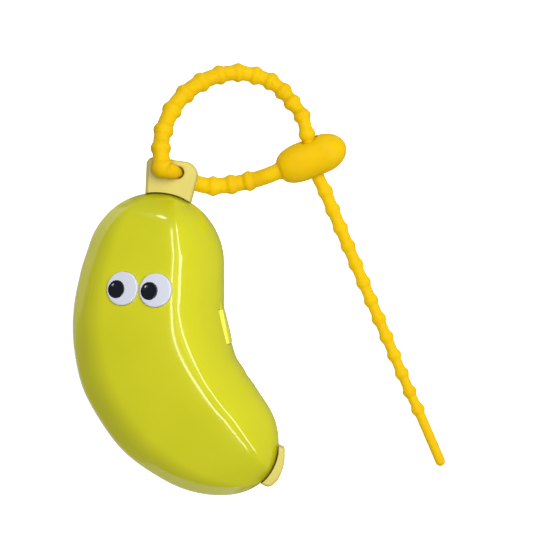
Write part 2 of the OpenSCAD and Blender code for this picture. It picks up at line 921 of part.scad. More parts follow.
// A smooth curve through the route, and a place at a distance along it
last_stop = len(route) - 1;
function stop(k) =
    k < 0 ? 2 * route[0] - route[1]
    : k > last_stop ? 2 * route[last_stop] - route[last_stop - 1]
    : route[k];
function curve(k, t) =
    let (a = stop(k - 1), b = stop(k), c = stop(k + 1), d = stop(k + 2))
    b + (c - a) * t / 2 + (2 * a - 5 * b + 4 * c - d) * t * t / 2
    + (3 * b - a - 3 * c + d) * t * t * t / 2;
curve_points = [
    for (k = [0 : last_stop - 1])
        for (m = [0 : curve_steps - 1])
            curve(k, m / curve_steps),
    route[last_stop]
];
curve_last = len(curve_points) - 1;
reach = [
    for (k = 0, s = 0; k <= curve_last;
         s = s + norm(curve_points[min(k + 1, curve_last)] - curve_points[k]), k = k + 1)
        s
];
strap_len = reach[curve_last];
paths = [for (axis = [0 : 2]) [for (k = [0 : curve_last]) [reach[k], curve_points[k][axis]]]];
function on_strap(s) = [for (axis = [0 : 2]) lookup(s, paths[axis])];

neck_sizes = [
    [0, strap_neck],
    [slot_start - slot_taper, strap_neck],
    [slot_start, slot_neck],
    [slot_finish, slot_neck],
    [slot_finish + slot_taper, strap_neck],
    [taper_start, strap_neck],
    [loop_finish, pass_neck],
    [tail_start, pass_neck],
    [tail_plain, tail_neck]
];
bead_sizes = [
    [taper_start, strap_bead],
    [loop_finish, loop_bead],
    [tail_start, tail_bead],
    [tail_plain, end_bead]
];
loop_first = len(to_slot);
tail_first = loop_first + len(loop_stops) + len(to_tail);
tail_from = reach[tail_first * curve_steps];
tail_to = reach[(last_stop - 1) * curve_steps];
beads = [
    for (k = [0 : lead_run[2] - 1]) lead_run[0] + k * lead_run[1],
    for (k = [0 : len(loop_stops) - 1]) reach[(loop_first + k) * curve_steps],
    for (k = [0 : tail_beads - 1]) tail_from + (tail_to - tail_from) * k / (tail_beads - 1)
];

// Rings along the strap as [distance, radius]: four for each bead, and plain ones in long gaps
function bead_rings(s) =
    let (neck = lookup(s, neck_sizes), crest = lookup(s, bead_sizes))
    [
        [s - bead_len / 2, neck], [s - bead_crest / 2, crest],
        [s + bead_crest / 2, crest], [s + bead_len / 2, neck]
    ];
function plain_rings(from, to) =
    let (count = floor((to - from) / plain_step))
    [for (k = [1 : 1 : count]) let (s = from + (to - from) * k / (count + 1)) [s, lookup(s, neck_sizes)]];
last_bead = len(beads) - 1;
strap_rings = concat(
    [[0, strap_neck]],
    plain_rings(0, beads[0] - bead_len / 2),
    [
        for (k = [0 : last_bead])
            each concat(
                bead_rings(beads[k]),
                k < last_bead ? plain_rings(beads[k] + bead_len / 2, beads[k + 1] - bead_len / 2) : []
            )
    ],
    plain_rings(beads[last_bead] + bead_len / 2, strap_len),
    [[strap_len, tail_neck]]
);
strap_last = len(strap_rings) - 1;

// Each ring is square to the strap's way, and its first corner is carried along without twisting
function unit(v) = v / norm(v);
strap_ways = [
    unit(route[1] - route[0]),
    for (k = [1 : strap_last])
        let (s = min(strap_len - probe, strap_rings[k][0]))
        unit(on_strap(s + probe) - on_strap(s - probe))
];
function carried(u, way) = unit(u - (u * way) * way);
strap_ups = [
    for (k = 0, u = carried([0, 0, 1], strap_ways[0]); k <= strap_last;
         u = carried(u, strap_ways[min(k + 1, strap_last)]), k = k + 1)
        u
];
module strap_form() {
    points = [
        for (k = [0 : strap_last])
            let (
                mid = on_strap(strap_rings[k][0]),
                up = strap_ups[k],
                across = cross(strap_ways[k], up)
            )
            for (m = [0 : strap_sides - 1])
                let (a = 360 * m / strap_sides)
                mid + strap_rings[k][1] * (cos(a) * up + sin(a) * across)
    ];
    sides = [
        for (k = [0 : strap_last - 1])
            for (m = [0 : strap_sides - 1])
                let (
                    a = k * strap_sides + m,
                    b = k * strap_sides + (m + 1) % strap_sides,
                    c = b + strap_sides,
                    d = a + strap_sides
                )
                each [[a, c, b], [a, d, c]]
    ];
    start = [for (m = [2 : strap_sides - 1]) [0, m - 1, m]];
    base = strap_last * strap_sides;
    finish = [for (m = [2 : strap_sides - 1]) [base, base + m, base + m - 1]];
    polyhedron(points = points, faces = concat(sides, start, finish), convexity = 8);
}
module strap() {
    color(strap_yellow)
        strap_form();
}

back_shell();
front_shell();
hinge_pin();
clasp();
clasp_pin();
stem_block();
stem_screws();
tip_cap();
tip_screw();
left_eye_white();
left_pupil();
right_eye_white();
right_pupil();
strap();
strap_head();
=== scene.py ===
# %% [markdown]
# # A banana-shaped toothbrush case
# The real object is a small hard case, moulded in two shells that open like a clam. It has a stem
# block and a tip cap screwed to its ends, a flip clasp at the waist, two glued eye discs and a
# beaded silicone strap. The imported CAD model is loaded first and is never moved: every piece made
# here stands where the CAD says, in metres.
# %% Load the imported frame
import json
import math

import bmesh
import bpy
import numpy as np
from mathutils import Matrix, Vector


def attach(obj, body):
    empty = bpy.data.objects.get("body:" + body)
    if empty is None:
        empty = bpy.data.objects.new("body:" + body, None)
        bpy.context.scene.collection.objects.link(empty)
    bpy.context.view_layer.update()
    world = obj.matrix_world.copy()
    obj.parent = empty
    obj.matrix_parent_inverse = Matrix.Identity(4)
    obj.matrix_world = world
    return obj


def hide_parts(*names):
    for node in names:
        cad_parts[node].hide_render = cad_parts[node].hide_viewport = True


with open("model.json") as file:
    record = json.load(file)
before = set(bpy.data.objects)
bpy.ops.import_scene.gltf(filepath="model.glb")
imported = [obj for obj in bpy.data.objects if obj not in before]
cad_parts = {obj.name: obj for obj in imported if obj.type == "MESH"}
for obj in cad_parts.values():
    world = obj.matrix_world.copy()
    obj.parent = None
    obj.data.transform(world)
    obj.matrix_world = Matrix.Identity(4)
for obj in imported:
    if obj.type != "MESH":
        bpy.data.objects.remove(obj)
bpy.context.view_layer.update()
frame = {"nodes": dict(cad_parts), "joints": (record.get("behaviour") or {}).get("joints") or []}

MM = 0.001

# %% [markdown]
# ## Camera
# The photograph looks straight down on the case from about a metre away. The camera could be moved
# until the picture fits, but then it would fit at one height only. So the width of the view was
# worked out at the height of the parting plane, where the outline of the case is, and the focal
# length follows from it.
# %% Camera
parting = 15 * MM
camera_height = 1.0
view_middle = (30.38 * MM, 21.0 * MM)
view_width = 186.55 * MM
sensor_width = 36.0

camera_data = bpy.data.cameras.new("camera")
camera_data.sensor_width = sensor_width
camera_data.lens = sensor_width * (camera_height - parting) / view_width
camera_data.clip_start = 0.05
camera_data.clip_end = 20.0
camera = bpy.data.objects.new("camera", camera_data)
camera.location = (*view_middle, camera_height)
bpy.context.scene.collection.objects.link(camera)
bpy.context.scene.camera = camera
print(f"lens {camera_data.lens:.1f} mm")

# %% [markdown]
# ## Helpers for meshes
# Most pieces are grids of points: a section that is swept along something. They could be modelled
# by hand in Edit Mode, but points from a rule keep the CAD's sizes and can be made as fine as the
# highlights need. One helper turns points into a mesh. Others close it up, shade it smooth and
# stack loops of points into a solid.
# %% Mesh helpers
collection = bpy.context.scene.collection


def piece_from(name, points, faces):
    mesh = bpy.data.meshes.new(name)
    mesh.from_pydata([tuple(p) for p in points], [], [tuple(f) for f in faces])
    piece = bpy.data.objects.new(name, mesh)
    collection.objects.link(piece)
    return piece


def close_up(piece, merge=1e-6):
    """Merges points that fall together and turns all faces outwards."""
    work = bmesh.new()
    work.from_mesh(piece.data)
    bmesh.ops.remove_doubles(work, verts=work.verts, dist=merge)
    bmesh.ops.dissolve_degenerate(work, edges=work.edges, dist=merge)
    bmesh.ops.recalc_face_normals(work, faces=work.faces)
    work.to_mesh(piece.data)
    work.free()
    return piece


def smooth(piece, sharp_angle):
    piece.data.shade_smooth()
    piece.data.set_sharp_from_angle(angle=math.radians(sharp_angle))
    return piece


def grid_faces(rows, columns):
    """Faces of a grid of points, whose last column is joined to its first."""
    faces = []
    for row in range(0, (rows - 1) * columns, columns):
        for k in range(columns):
            a, b = row + k, row + (k + 1) % columns
            faces.append((a, b, b + columns, a + columns))
    return faces


def capped_faces(rows, columns):
    first, last = range(columns), range((rows - 1) * columns, rows * columns)
    return [*grid_faces(rows, columns), tuple(first), tuple(last)]


def stacked(name, loops):
    """A solid from a stack of closed loops with the same number of points, capped at both ends."""
    points = [p for loop in loops for p in loop]
    return close_up(piece_from(name, points, capped_faces(len(loops), len(loops[0]))))


# %% [markdown]
# ### Cutting and rounding
# Openings and rounded edges come from Boolean and Bevel modifiers, as a modeller would set them on
# a piece. Their result is kept as a plain mesh, so the piece holds the finished form.
# %% Modifier helpers
def with_modifiers_applied(piece):
    graph = bpy.context.evaluated_depsgraph_get()
    mesh = bpy.data.meshes.new_from_object(piece.evaluated_get(graph))
    piece.modifiers.clear()
    piece.data = mesh
    return piece


def cut(piece, cutters):
    """Takes the cutters out of a piece, and the cutters out of the scene."""
    for cutter in cutters:
        modifier = piece.modifiers.new("cut", "BOOLEAN")
        modifier.operation = "DIFFERENCE"
        modifier.solver = "EXACT"
        modifier.object = cutter
    with_modifiers_applied(piece)
    for cutter in cutters:
        bpy.data.objects.remove(cutter)
    return piece


def rounded(piece, width, segments=3, angle=35):
    modifier = piece.modifiers.new("rounding", "BEVEL")
    modifier.width = width
    modifier.segments = segments
    modifier.limit_method = "ANGLE"
    modifier.angle_limit = math.radians(angle)
    modifier.harden_normals = False
    return with_modifiers_applied(piece)


def placed(piece, matrix):
    piece.data.transform(matrix)
    return piece


# %% [markdown]
# ## Middle line and width of the case
# The outline of the case is a bent sausage: a straight run, an arc and a straight run, with a half
# width that swells in the belly. It could be traced as a Bezier curve. But the CAD source has a
# rule for it, and with the same driving sizes the finer shells made here lie on the CAD's own.
# %% Outline of the case
upper_run, bend_radius, lower_run = 36.9 * MM, 48.2 * MM, 26.6 * MM
bend_angle, lean = math.radians(62.8), math.radians(-7.9)
stem_half, tip_half, belly = 22.2 * MM, 20.1 * MM, 6.1 * MM
stem_round, tip_round = 21.1 * MM, 24.7 * MM
stem_end = np.array([-5.1, 46.6]) * MM
bend_run = bend_radius * bend_angle
spine_len = upper_run + bend_run + lower_run
mid_half = (stem_half + tip_half) / 2 + belly


def heading(a):
    return np.stack([np.sin(a), -np.cos(a)], -1)


def sideways(a):
    return np.stack([np.cos(a), np.sin(a)], -1)


def turn(s):
    return lean + np.clip((np.asarray(s) - upper_run) / bend_radius, 0, bend_angle)


def spine(s):
    s = np.asarray(s, float)
    before = np.minimum(s - upper_run, 0)[..., None]
    after = np.maximum(s - upper_run - bend_run, 0)[..., None]
    start = stem_end + upper_run * heading(lean)
    arc = bend_radius * (sideways(lean) - sideways(turn(s)))
    return start + arc + before * heading(lean) + after * heading(lean + bend_angle)


def girth(s):
    u = np.asarray(s) / spine_len
    ease = u * u * (3 - 2 * u)
    return stem_half + (tip_half - stem_half) * ease + belly * np.sin(math.pi * u) ** 2


print(f"middle line {spine_len / MM:.1f} mm, widest half {girth(spine_len / 2) / MM:.1f} mm")

# %% [markdown]
# ## Rings and columns of a shell
# Each shell is a closed strip of section points, swept from the stem end to the tip. A subdivided
# cage would need fewer points, but it would wash out the ridge and the flat facets beside it.
# Towards both ends the section shrinks like a circle seen from the side, and there it closes in
# one point. A column of the strip is worked out for all rings at once.
# %% Rings of a shell
end_rings, mid_rings = 22, 70
quarter = np.linspace(0, math.pi / 2, end_rings + 1)
shrink = np.concatenate([np.sin(quarter), np.ones(mid_rings - 1), np.cos(quarter)])


def stations(inset=0.0):
    near = stem_round - (stem_round - inset) * np.cos(quarter)
    middle = np.linspace(stem_round, spine_len - tip_round, mid_rings + 1)[1:-1]
    far = spine_len - tip_round + (tip_round - inset) * np.sin(quarter)
    return np.concatenate([near, middle, far])


ring_girth = girth(stations())


def half_width(inset):
    return (ring_girth - inset) * shrink


print("rings from the stem to the tip:", len(shrink))

# %% [markdown]
# ### Waves of the outline
# A real moulding was shaped by hand and doesn't follow one law all the way. In the photograph the
# edge swells and dips by a few tenths of a millimetre, which the CAD leaves even. This could be
# sculpted, but a few numbers are easier to check against the photograph. Each wave is a size, a
# place along the middle line and a reach, all in millimetres. It is full at the edge and fades to
# nothing on the middle line, so the ridge and the eyes keep their places.
# %% Waves of the outline
right_waves = [(0.85, 86, 7), (-0.35, 97.5, 4), (0.45, 108, 4)]
left_waves = [(0.4, 29, 5.5), (0.35, 60, 5), (0.55, 77, 6.5)]


def swell(s, waves):
    return sum(
        size * MM * np.exp(-(((s / MM) - place) / reach) ** 2) for size, place, reach in waves
    )


def widened(s, across, half):
    beyond = np.where(across > 0, swell(s, right_waves), -swell(s, left_waves))
    return across + (across / half) ** 2 * beyond


print(f"swell below the clasp {swell(86 * MM, right_waves) / MM:.2f} mm")

# %% [markdown]
# ### Columns into a shell
# A Solidify modifier could give the skin its wall, but not a flat rim at the parting plane. So a
# shell is closed all round: up the outer skin, over the rim on the right, back along the inner
# skin and over the rim on the left. The rim's edges get a small rounding, as any moulding has.
# %% Columns and shells
edge_round = 0.22 * MM
round_angles = np.linspace(0, math.pi / 2, 5)


def column(inset, across, height):
    """Points of one column: across is measured from the middle line, height from the table."""
    s = stations(inset)
    across = widened(s, across, ring_girth)
    plan = spine(s) + np.reshape(across, (-1, 1)) * sideways(turn(s))
    return np.column_stack([plan, np.broadcast_to(height, s.shape)])


def rim_column(inset, hand, height):
    return column(inset, hand * half_width(inset), height)


def outer_edge(inset, height, up):
    """A rounded edge that begins upright and ends flat, as (inset, height)."""
    return [(inset + edge_round * (1 - math.cos(a)), height + up * edge_round * (1 - math.sin(a)))
            for a in round_angles]


def inner_edge(inset, height, up):
    return [(inset - edge_round * (1 - math.sin(a)), height + up * edge_round * (1 - math.cos(a)))
            for a in round_angles]


def shell(name, outer, rim, inner):
    right = [rim_column(inset, 1, z) for inset, z in rim]
    left = [rim_column(inset, -1, z) for inset, z in reversed(rim)]
    grid = np.stack(outer + right + inner[::-1] + left, axis=1)
    piece = piece_from(name, grid.reshape(-1, 3), grid_faces(*grid.shape[:2]))
    return close_up(piece, 2e-6)


# %% [markdown]
# ## Strap
# The strap is the only soft part. It starts at its own head, runs behind the stem, comes forward
# through the slot, makes a loop, passes through the head and lies out along the table. A soft strap
# could be simulated, but here the photograph fixes its lie. So the route goes through chosen
# points, which are those of the CAD source, in millimetres.
# %% Route of the strap
head_r = 6.85 * MM
head_mid = np.array([46.4, 59.4, 6.9]) * MM
head_turn, head_rear = math.radians(22), 13.8 * MM
bore_mid = np.array([46.75, 59.4, 6.4]) * MM
bore_turn, bore_tilt = math.radians(-75), math.radians(17)
neck_way = np.array([math.cos(head_turn), math.sin(head_turn), 0])
neck_end = head_mid - head_rear * neck_way
to_slot = [
    [27.4, 52, 5.7], [23, 51, 4.4], [17.5, 50, 3.8], [11.5, 49.5, 3.8], [7, 50.1, 4],
    [3.2, 51.7, 4.9], [0.3, 53.2, 6.7], [-0.75, 53.74, 9.8], [-0.85, 53.76, 13],
    [-0.85, 53.78, 16.5], [-0.9, 53.8, 20], [-2.4, 54.1, 23.4],
]
loop_stops = [
    [-5.53, 55.77, 24.9], [-6.23, 62.01, 24.2], [-5.45, 68.3, 20.8], [-2.63, 75.56, 16.6],
    [1.84, 81.49, 13.2], [7.49, 85.84, 9.8], [13.88, 88.57, 6.8], [20.32, 89.54, 4.8],
    [26.55, 88.53, 3.9], [31.87, 86.47, 3.75], [36.27, 82.98, 4], [39.5, 79, 5],
    [42.94, 74.05, 7], [44.65, 67.6, 8.9],
]
tail_stops = [
    [51.2, 47.6, 3.15], [53.85, 41.2, 3], [67.05, 9.9, 2.9], [80.95, -22.9, 2.8],
    [84.05, -29.6, 2.75], [92.8, -49.8, 2],
]
route = np.vstack([
    neck_end, neck_end - 3 * MM * neck_way, np.array(to_slot) * MM, np.array(loop_stops) * MM,
    bore_mid, np.array([48.5, 53, 4.3]) * MM, np.array(tail_stops) * MM,
])
print("stops on the route:", len(route))

# %% [markdown]
# ### A smooth curve through the stops
# A Bezier curve object could join the stops, but its handles would have to be set one by one. The
# rule used here takes each run's bend from the stops on both sides of it, and it always passes
# through all of them.
# %% Smooth route
def smooth_curve(points, steps):
    """A curve that passes through all the points and bends evenly between them."""
    ends = np.vstack([2 * points[0] - points[1], points, 2 * points[-1] - points[-2]])
    t = np.linspace(0, 1, steps, endpoint=False)[:, None]
    parts = []
    for a, b, c, d in zip(ends, ends[1:], ends[2:], ends[3:]):
        line = b + (c - a) * t / 2
        bow = (2 * a - 5 * b + 4 * c - d) * t**2 / 2 + (3 * b - a - 3 * c + d) * t**3 / 2
        parts.append(line + bow)
    return np.vstack([*parts, points[-1]])


def reach_along(points):
    """The distance from the first point to each point along the chain."""
    return np.concatenate([[0], np.cumsum(np.linalg.norm(np.diff(points, axis=0), axis=1))])


steps_per_stop = 24
strap_curve = smooth_curve(route, steps_per_stop)
strap_reach = reach_along(strap_curve)
strap_len = strap_reach[-1]
print(f"strap {strap_len:.4f} m")

# %% [markdown]
# ### Thickness of the strap and its beads
# The real strap has round beads that click past the head one by one. They are fat near the head's
# end and small on the tail. The strap squeezes where it passes the slot and bulges where it bends
# over the stem block. Beads on a string would be spheres, but these are moulded in one with the
# strap. So its radius is a smooth neck plus a bump at each bead.
# %% Radius along the strap
strap_neck, slot_neck, pass_neck, tail_neck = 2.85 * MM, 1.9 * MM, 2.3 * MM, 1.75 * MM
strap_bead, loop_bead, tail_bead, end_bead = 3.6 * MM, 3.15 * MM, 2.8 * MM, 2.5 * MM
squeezed_neck, elbow_neck, elbow_bead = 2.1 * MM, 3.5 * MM, 4.4 * MM
bead_len = 4.3 * MM
loop_first = 2 + len(to_slot)
tail_first = loop_first + len(loop_stops) + 2
stop_reach = strap_reach[::steps_per_stop]
loop_beads = stop_reach[loop_first:loop_first + len(loop_stops)]
tail_beads = np.linspace(stop_reach[tail_first], stop_reach[-2], 13)
lead_beads = np.array([10.2, 16.7, 23.2]) * MM
bead_places = np.concatenate([lead_beads, loop_beads, tail_beads])
neck_places = np.array([28.5, 38, 41.5, 49.5, 54, 57, 61, 95, 140, 160, 250]) * MM
neck_values = [
    strap_neck, strap_neck, squeezed_neck, slot_neck, strap_neck, elbow_neck, strap_neck,
    strap_neck, pass_neck, pass_neck, tail_neck,
]
bead_steps = np.array([50, 57, 63, 95, 140, 160, 250]) * MM
bead_values = [strap_bead, elbow_bead, strap_bead, strap_bead, loop_bead, tail_bead, end_bead]


def strap_radius(s):
    neck = np.interp(s, neck_places, neck_values)
    crest = np.interp(s, bead_steps, bead_values)
    away = np.abs(s[:, None] - bead_places[None, :]).min(axis=1) / (bead_len / 2)
    bump = np.where(away < 1, np.cos(away * math.pi / 2) ** 1.5, 0)
    return neck + (crest - neck) * bump


# %% [markdown]
# ### Sweeping the strap
# A curve object with a round bevel could follow the route too. A mesh made ring by ring can have
# its rings as close as the beads need, and a clean map along its length. The section has to follow
# the route without twisting. Its first corner is carried from ring to ring and only turned as much
# as the route turns. The tail ends in a round tip.
# %% Strap mesh
def carried_frames(ways):
    """Two directions square to each way, carried along without twist."""
    up = np.array([0.0, 0.0, 1.0])
    ups = []
    for way in ways:
        up = up - (up @ way) * way
        up = up / np.linalg.norm(up)
        ups.append(up)
    ups = np.array(ups)
    return ups, np.cross(ways, ups)


def tube(name, centres, radii, sides):
    ways = np.gradient(centres, axis=0)
    ways /= np.linalg.norm(ways, axis=1)[:, None]
    ups, across = carried_frames(ways)
    angles = np.linspace(0, 2 * math.pi, sides, endpoint=False)
    cosines, sines = np.cos(angles)[None, :, None], np.sin(angles)[None, :, None]
    spokes = cosines * ups[:, None, :] + sines * across[:, None, :]
    rings = centres[:, None, :] + radii[:, None, None] * spokes
    piece = piece_from(name, rings.reshape(-1, 3), capped_faces(len(centres), sides))
    uv = piece.data.uv_layers.new(name="along")
    reach = reach_along(centres)
    for loop in piece.data.loops:
        ring, corner = divmod(loop.vertex_index, sides)
        uv.data[loop.index].uv = (reach[ring], corner / sides)
    return close_up(piece, 1e-8)


strap_step = 0.3 * MM
strap_sides = 28
ring_places = np.arange(0, strap_len - tail_neck, strap_step)
tip_angles = np.linspace(0, math.pi / 2, 8)[1:]
tip_places = ring_places[-1] + tail_neck * np.sin(tip_angles)
strap_places = np.concatenate([ring_places, tip_places])
tip_radii = np.maximum(tail_neck * np.cos(tip_angles), 0.05 * MM)
strap_radii = np.concatenate([strap_radius(ring_places), tip_radii])
strap_centres = np.column_stack(
    [np.interp(strap_places, strap_reach, strap_curve[:, k]) for k in range(3)]
)
strap = tube("silicone_strap", strap_centres, strap_radii, strap_sides)
print("strap rings:", len(strap_places), "faces:", len(strap.data.polygons))

# %% [markdown]
# ### Head of the strap
# The head is an egg that narrows into the strap, with a bore across it. A scaled sphere would be
# quicker, but it has no shoulder and no soft run into the strap. So the egg is turned like a pot: a
# profile is spun round its axis.
# %% Strap head mesh
def lathe(name, profile, sides=64):
    """Spins a profile of (distance from the axis, height) round Z. Both ends lie on the axis."""
    angles = np.linspace(0, 2 * math.pi, sides, endpoint=False)
    points = [(r * math.cos(a), r * math.sin(a), z) for r, z in profile for a in angles]
    return close_up(piece_from(name, points, grid_faces(len(profile), sides)), 1e-7)


head_front, head_shoulder, fillet_len = 12.8 * MM, 3.6 * MM, 1.5 * MM
narrow_turn = 0.46 * math.pi
blunt_side = [
    (head_r * math.sin(a), head_shoulder + (head_front - head_shoulder) * math.cos(a))
    for a in np.linspace(0, math.pi / 2, 20)
]
narrow_side = [
    (strap_neck + (head_r - strap_neck) * math.cos(a),
     -head_shoulder - (head_rear - fillet_len - head_shoulder) * math.sin(a))
    for a in np.linspace(0, narrow_turn, 20)
]
fillet_start = narrow_side[-1]
fillet = [
    (strap_neck + (fillet_start[0] - strap_neck) * (1 - u) ** 2,
     fillet_start[1] + (-head_rear - fillet_start[1]) * u)
    for u in np.linspace(0, 1, 8)[1:]
]
head_profile = blunt_side + narrow_side[1:] + fillet + [(0, -head_rear)]
head = lathe("strap_head_egg", head_profile)
placed(head, Matrix.Rotation(math.pi / 2, 4, "Y"))
placed(head, Matrix.Translation(head_mid) @ Matrix.Rotation(head_turn, 4, "Z"))
print("egg faces:", len(head.data.polygons))

# %% [markdown]
# ### Bore of the head
# The tail of the strap slides through this bore. A plain rod would leave knife edges where it goes
# through the egg. The rod that cuts here flares at both mouths, which leaves the rounded lips that
# silicone has.
# %% Bore through the head
head_bore, bore_half, bore_flare, mouth_in = 2.7 * MM, 8 * MM, 0.9 * MM, 0.45 * MM


def flared_rod(name, radius, half_len, flare, mouth_at):
    """A rod that widens at both mouths, to cut a bore with rounded lips."""
    heights = np.linspace(-half_len, half_len, 41)
    past = np.clip((np.abs(heights) - mouth_at + flare) / flare, 0, 1.6)
    radii = radius + flare * (1 - np.sqrt(np.clip(1 - np.minimum(past, 1) ** 2, 0, 1)))
    return lathe(name, [(0, -half_len), *zip(radii, heights), (0, half_len)], 48)


bore = flared_rod("bore", head_bore, bore_half, bore_flare, head_r - mouth_in)
placed(bore, Matrix.Rotation(math.pi / 2 + bore_tilt, 4, "Y"))
placed(bore, Matrix.Translation(bore_mid) @ Matrix.Rotation(bore_turn, 4, "Z"))
cut(head, [bore])
print("head faces with its bore:", len(head.data.polygons))

# %% [markdown]
# ## Effects for the materials
# Two effects are shared. Moulded plastic and silicone are never quite even: they have a faint
# orange peel, and their gloss changes where hands rub them. Pictures could show this, but noise
# needs no file and stays sharp from close by. The first group gives the height and the roughness.
# The second lets a colour drift a little, as pigment does. Both read Object coordinates, so they
# keep their real scale. Two small helpers make a node and fill its inputs.
# %% Nodes and their inputs
def feed(node, values):
    """Gives each input a value, or a link from a socket or from the first output of a node."""
    for label, value in values.items():
        if isinstance(value, bpy.types.Node):
            value = value.outputs[0]
        if isinstance(value, bpy.types.NodeSocket):
            node.id_data.links.new(value, node.inputs[label])
        else:
            node.inputs[label].default_value = value
    return node


def add_node(tree, kind, values=None, **settings):
    node = tree.nodes.new(kind)
    for label, value in settings.items():
        setattr(node, label, value)
    return feed(node, values or {})


def group_with(name, tree_kind, inputs, outputs):
    """An empty node group with its named sockets, what comes in and its way out."""
    group = bpy.data.node_groups.new(name, tree_kind)
    for label, kind, *value in inputs:
        socket = group.interface.new_socket(label, in_out="INPUT", socket_type="NodeSocket" + kind)
        if value:
            socket.default_value = value[0]
    for label, kind in outputs:
        group.interface.new_socket(label, in_out="OUTPUT", socket_type="NodeSocket" + kind)
    return group, group.nodes.new("NodeGroupInput").outputs, group.nodes.new("NodeGroupOutput")


# %% Moulded surface and pigment drift
def noise_at(group, scale, detail):
    coords = add_node(group, "ShaderNodeTexCoord").outputs["Object"]
    values = {"Vector": coords, "Scale": scale, "Detail": detail}
    return add_node(group, "ShaderNodeTexNoise", values).outputs["Fac"]


def make_moulded_surface():
    group, entry, leave = group_with(
        "Moulded surface", "ShaderNodeTree",
        [("Peel scale", "Float", 900), ("Rub scale", "Float", 60),
         ("Smoothest", "Float", 0.2), ("Roughest", "Float", 0.3)],
        [("Roughness", "Float"), ("Height", "Float")],
    )
    peel = noise_at(group, entry["Peel scale"], 2.0)
    rub = noise_at(group, entry["Rub scale"], 4.0)
    spread = add_node(group, "ShaderNodeMapRange", {
        "Value": rub, "From Min": 0.35, "From Max": 0.65,
        "To Min": entry["Smoothest"], "To Max": entry["Roughest"],
    })
    feed(leave, {"Roughness": spread, "Height": peel})
    return group


def make_pigment_drift():
    group, entry, leave = group_with(
        "Pigment drift", "ShaderNodeTree",
        [("Main", "Color", (1, 1, 1, 1)), ("Other", "Color", (1, 1, 1, 1)), ("Scale", "Float", 40)],
        [("Colour", "Color")],
    )
    cloud = noise_at(group, entry["Scale"], 5.0)
    mask = add_node(group, "ShaderNodeMapRange", {"Value": cloud, "From Min": 0.4, "From Max": 0.7})
    colours = {"Factor": mask, 6: entry["Main"], 7: entry["Other"]}
    mix = add_node(group, "ShaderNodeMix", colours, data_type="RGBA")
    feed(leave, {"Colour": mix.outputs[2]})
    return group


moulded_surface = make_moulded_surface()
pigment_drift = make_pigment_drift()
print("groups:", moulded_surface.name, "and", pigment_drift.name)

# %% [markdown]
# ### One recipe for plastics and silicone
# Every moulded finish uses the same two groups with its own values. What is the same all over the
# surface, such as the coat or the subsurface weight, is set on the shader's own sockets.
# %% Moulded materials
def linear(red, green, blue):
    """A colour as seen on a screen, 0 to 255, turned into the light values that Blender uses."""
    def one(value):
        value = value / 255
        return value / 12.92 if value <= 0.04045 else ((value + 0.055) / 1.055) ** 2.4
    return (one(red), one(green), one(blue), 1.0)


def new_material(name):
    material = bpy.data.materials.new(name)
    material.use_nodes = True
    return material, material.node_tree.nodes["Principled BSDF"]


def moulded(name, main, other, smoothest, roughest, peel=900, depth=0.012, drift=40, **sockets):
    material, shader = new_material(name)
    tree = material.node_tree
    surface = add_node(tree, "ShaderNodeGroup", node_tree=moulded_surface)
    feed(surface, {"Peel scale": peel, "Smoothest": smoothest, "Roughest": roughest})
    colour = add_node(tree, "ShaderNodeGroup", node_tree=pigment_drift)
    feed(colour, {"Main": main, "Other": other, "Scale": drift})
    height = {"Strength": 0.25, "Distance": depth * MM, "Height": surface.outputs["Height"]}
    bump = add_node(tree, "ShaderNodeBump", height)
    feed(shader, {"Normal": bump, "Roughness": surface, "Base Color": colour})
    feed(shader, {label.replace("_", " "): value for label, value in sockets.items()})
    material.diffuse_color = main
    return material


print(f"a mid grey of 128 on the screen is {linear(128, 128, 128)[0]:.3f} in light")

# %% [markdown]
# ### The six moulded finishes
# The case is glossy plastic and its fittings are satin. The silicone is softer in its shine and
# lets a little light in. The pupils are the glossiest of all, since they mirror a small lamp each.
# The colours were measured on the photograph and then set so that the render gives them back.
# %% Moulded finishes
shell_plastic = moulded(
    "Lime yellow plastic", linear(205, 203, 30), linear(199, 199, 26), 0.15, 0.22,
    Coat_Weight=0.5, Coat_Roughness=0.04, Specular_IOR_Level=0.3,
)
fittings_plastic = moulded(
    "Cream plastic", linear(205, 191, 90), linear(199, 184, 85), 0.38, 0.5, peel=1400, depth=0.02,
)
clasp_plastic = moulded(
    "Pale yellow plastic", linear(244, 240, 66), linear(239, 234, 60), 0.2, 0.3, Coat_Weight=0.3,
)
silicone = moulded(
    "Yellow silicone", linear(231, 190, 2), linear(224, 181, 1), 0.36, 0.46, peel=1500, depth=0.02,
    drift=60, Subsurface_Weight=0.15, Subsurface_Scale=0.002, Specular_IOR_Level=0.08,
)
eye_plastic = moulded(
    "White plastic", linear(209, 212, 225), linear(204, 207, 221), 0.22, 0.32, Coat_Weight=0.3,
)
pupil_plastic = moulded(
    "Black plastic", linear(17, 20, 29), linear(14, 17, 25), 0.06, 0.09, Specular_IOR_Level=0.4,
)
print("moulded finishes:", [m.name for m in bpy.data.materials if m.use_nodes])

# %% [markdown]
# ### Wire and screws
# The pins and screws are plain bright steel. Drawn wire has fine lines along it. An anisotropic
# shine could stand for them, but a stretched noise in the roughness shows them from close by.
# %% Steel material
def make_steel():
    material, shader = new_material("Bright steel")
    tree = material.node_tree
    coords = add_node(tree, "ShaderNodeTexCoord").outputs["Object"]
    stretch = add_node(tree, "ShaderNodeMapping", {"Vector": coords, "Scale": (6000, 300, 6000)})
    lines = add_node(tree, "ShaderNodeTexNoise", {"Vector": stretch, "Scale": 1.0}).outputs["Fac"]
    gloss = add_node(tree, "ShaderNodeMapRange", {"Value": lines, "To Min": 0.2, "To Max": 0.38})
    feed(shader, {"Metallic": 1.0, "Base Color": (0.62, 0.62, 0.64, 1), "Roughness": gloss})
    return material


steel = make_steel()
print("finish for pins and screws:", steel.name)
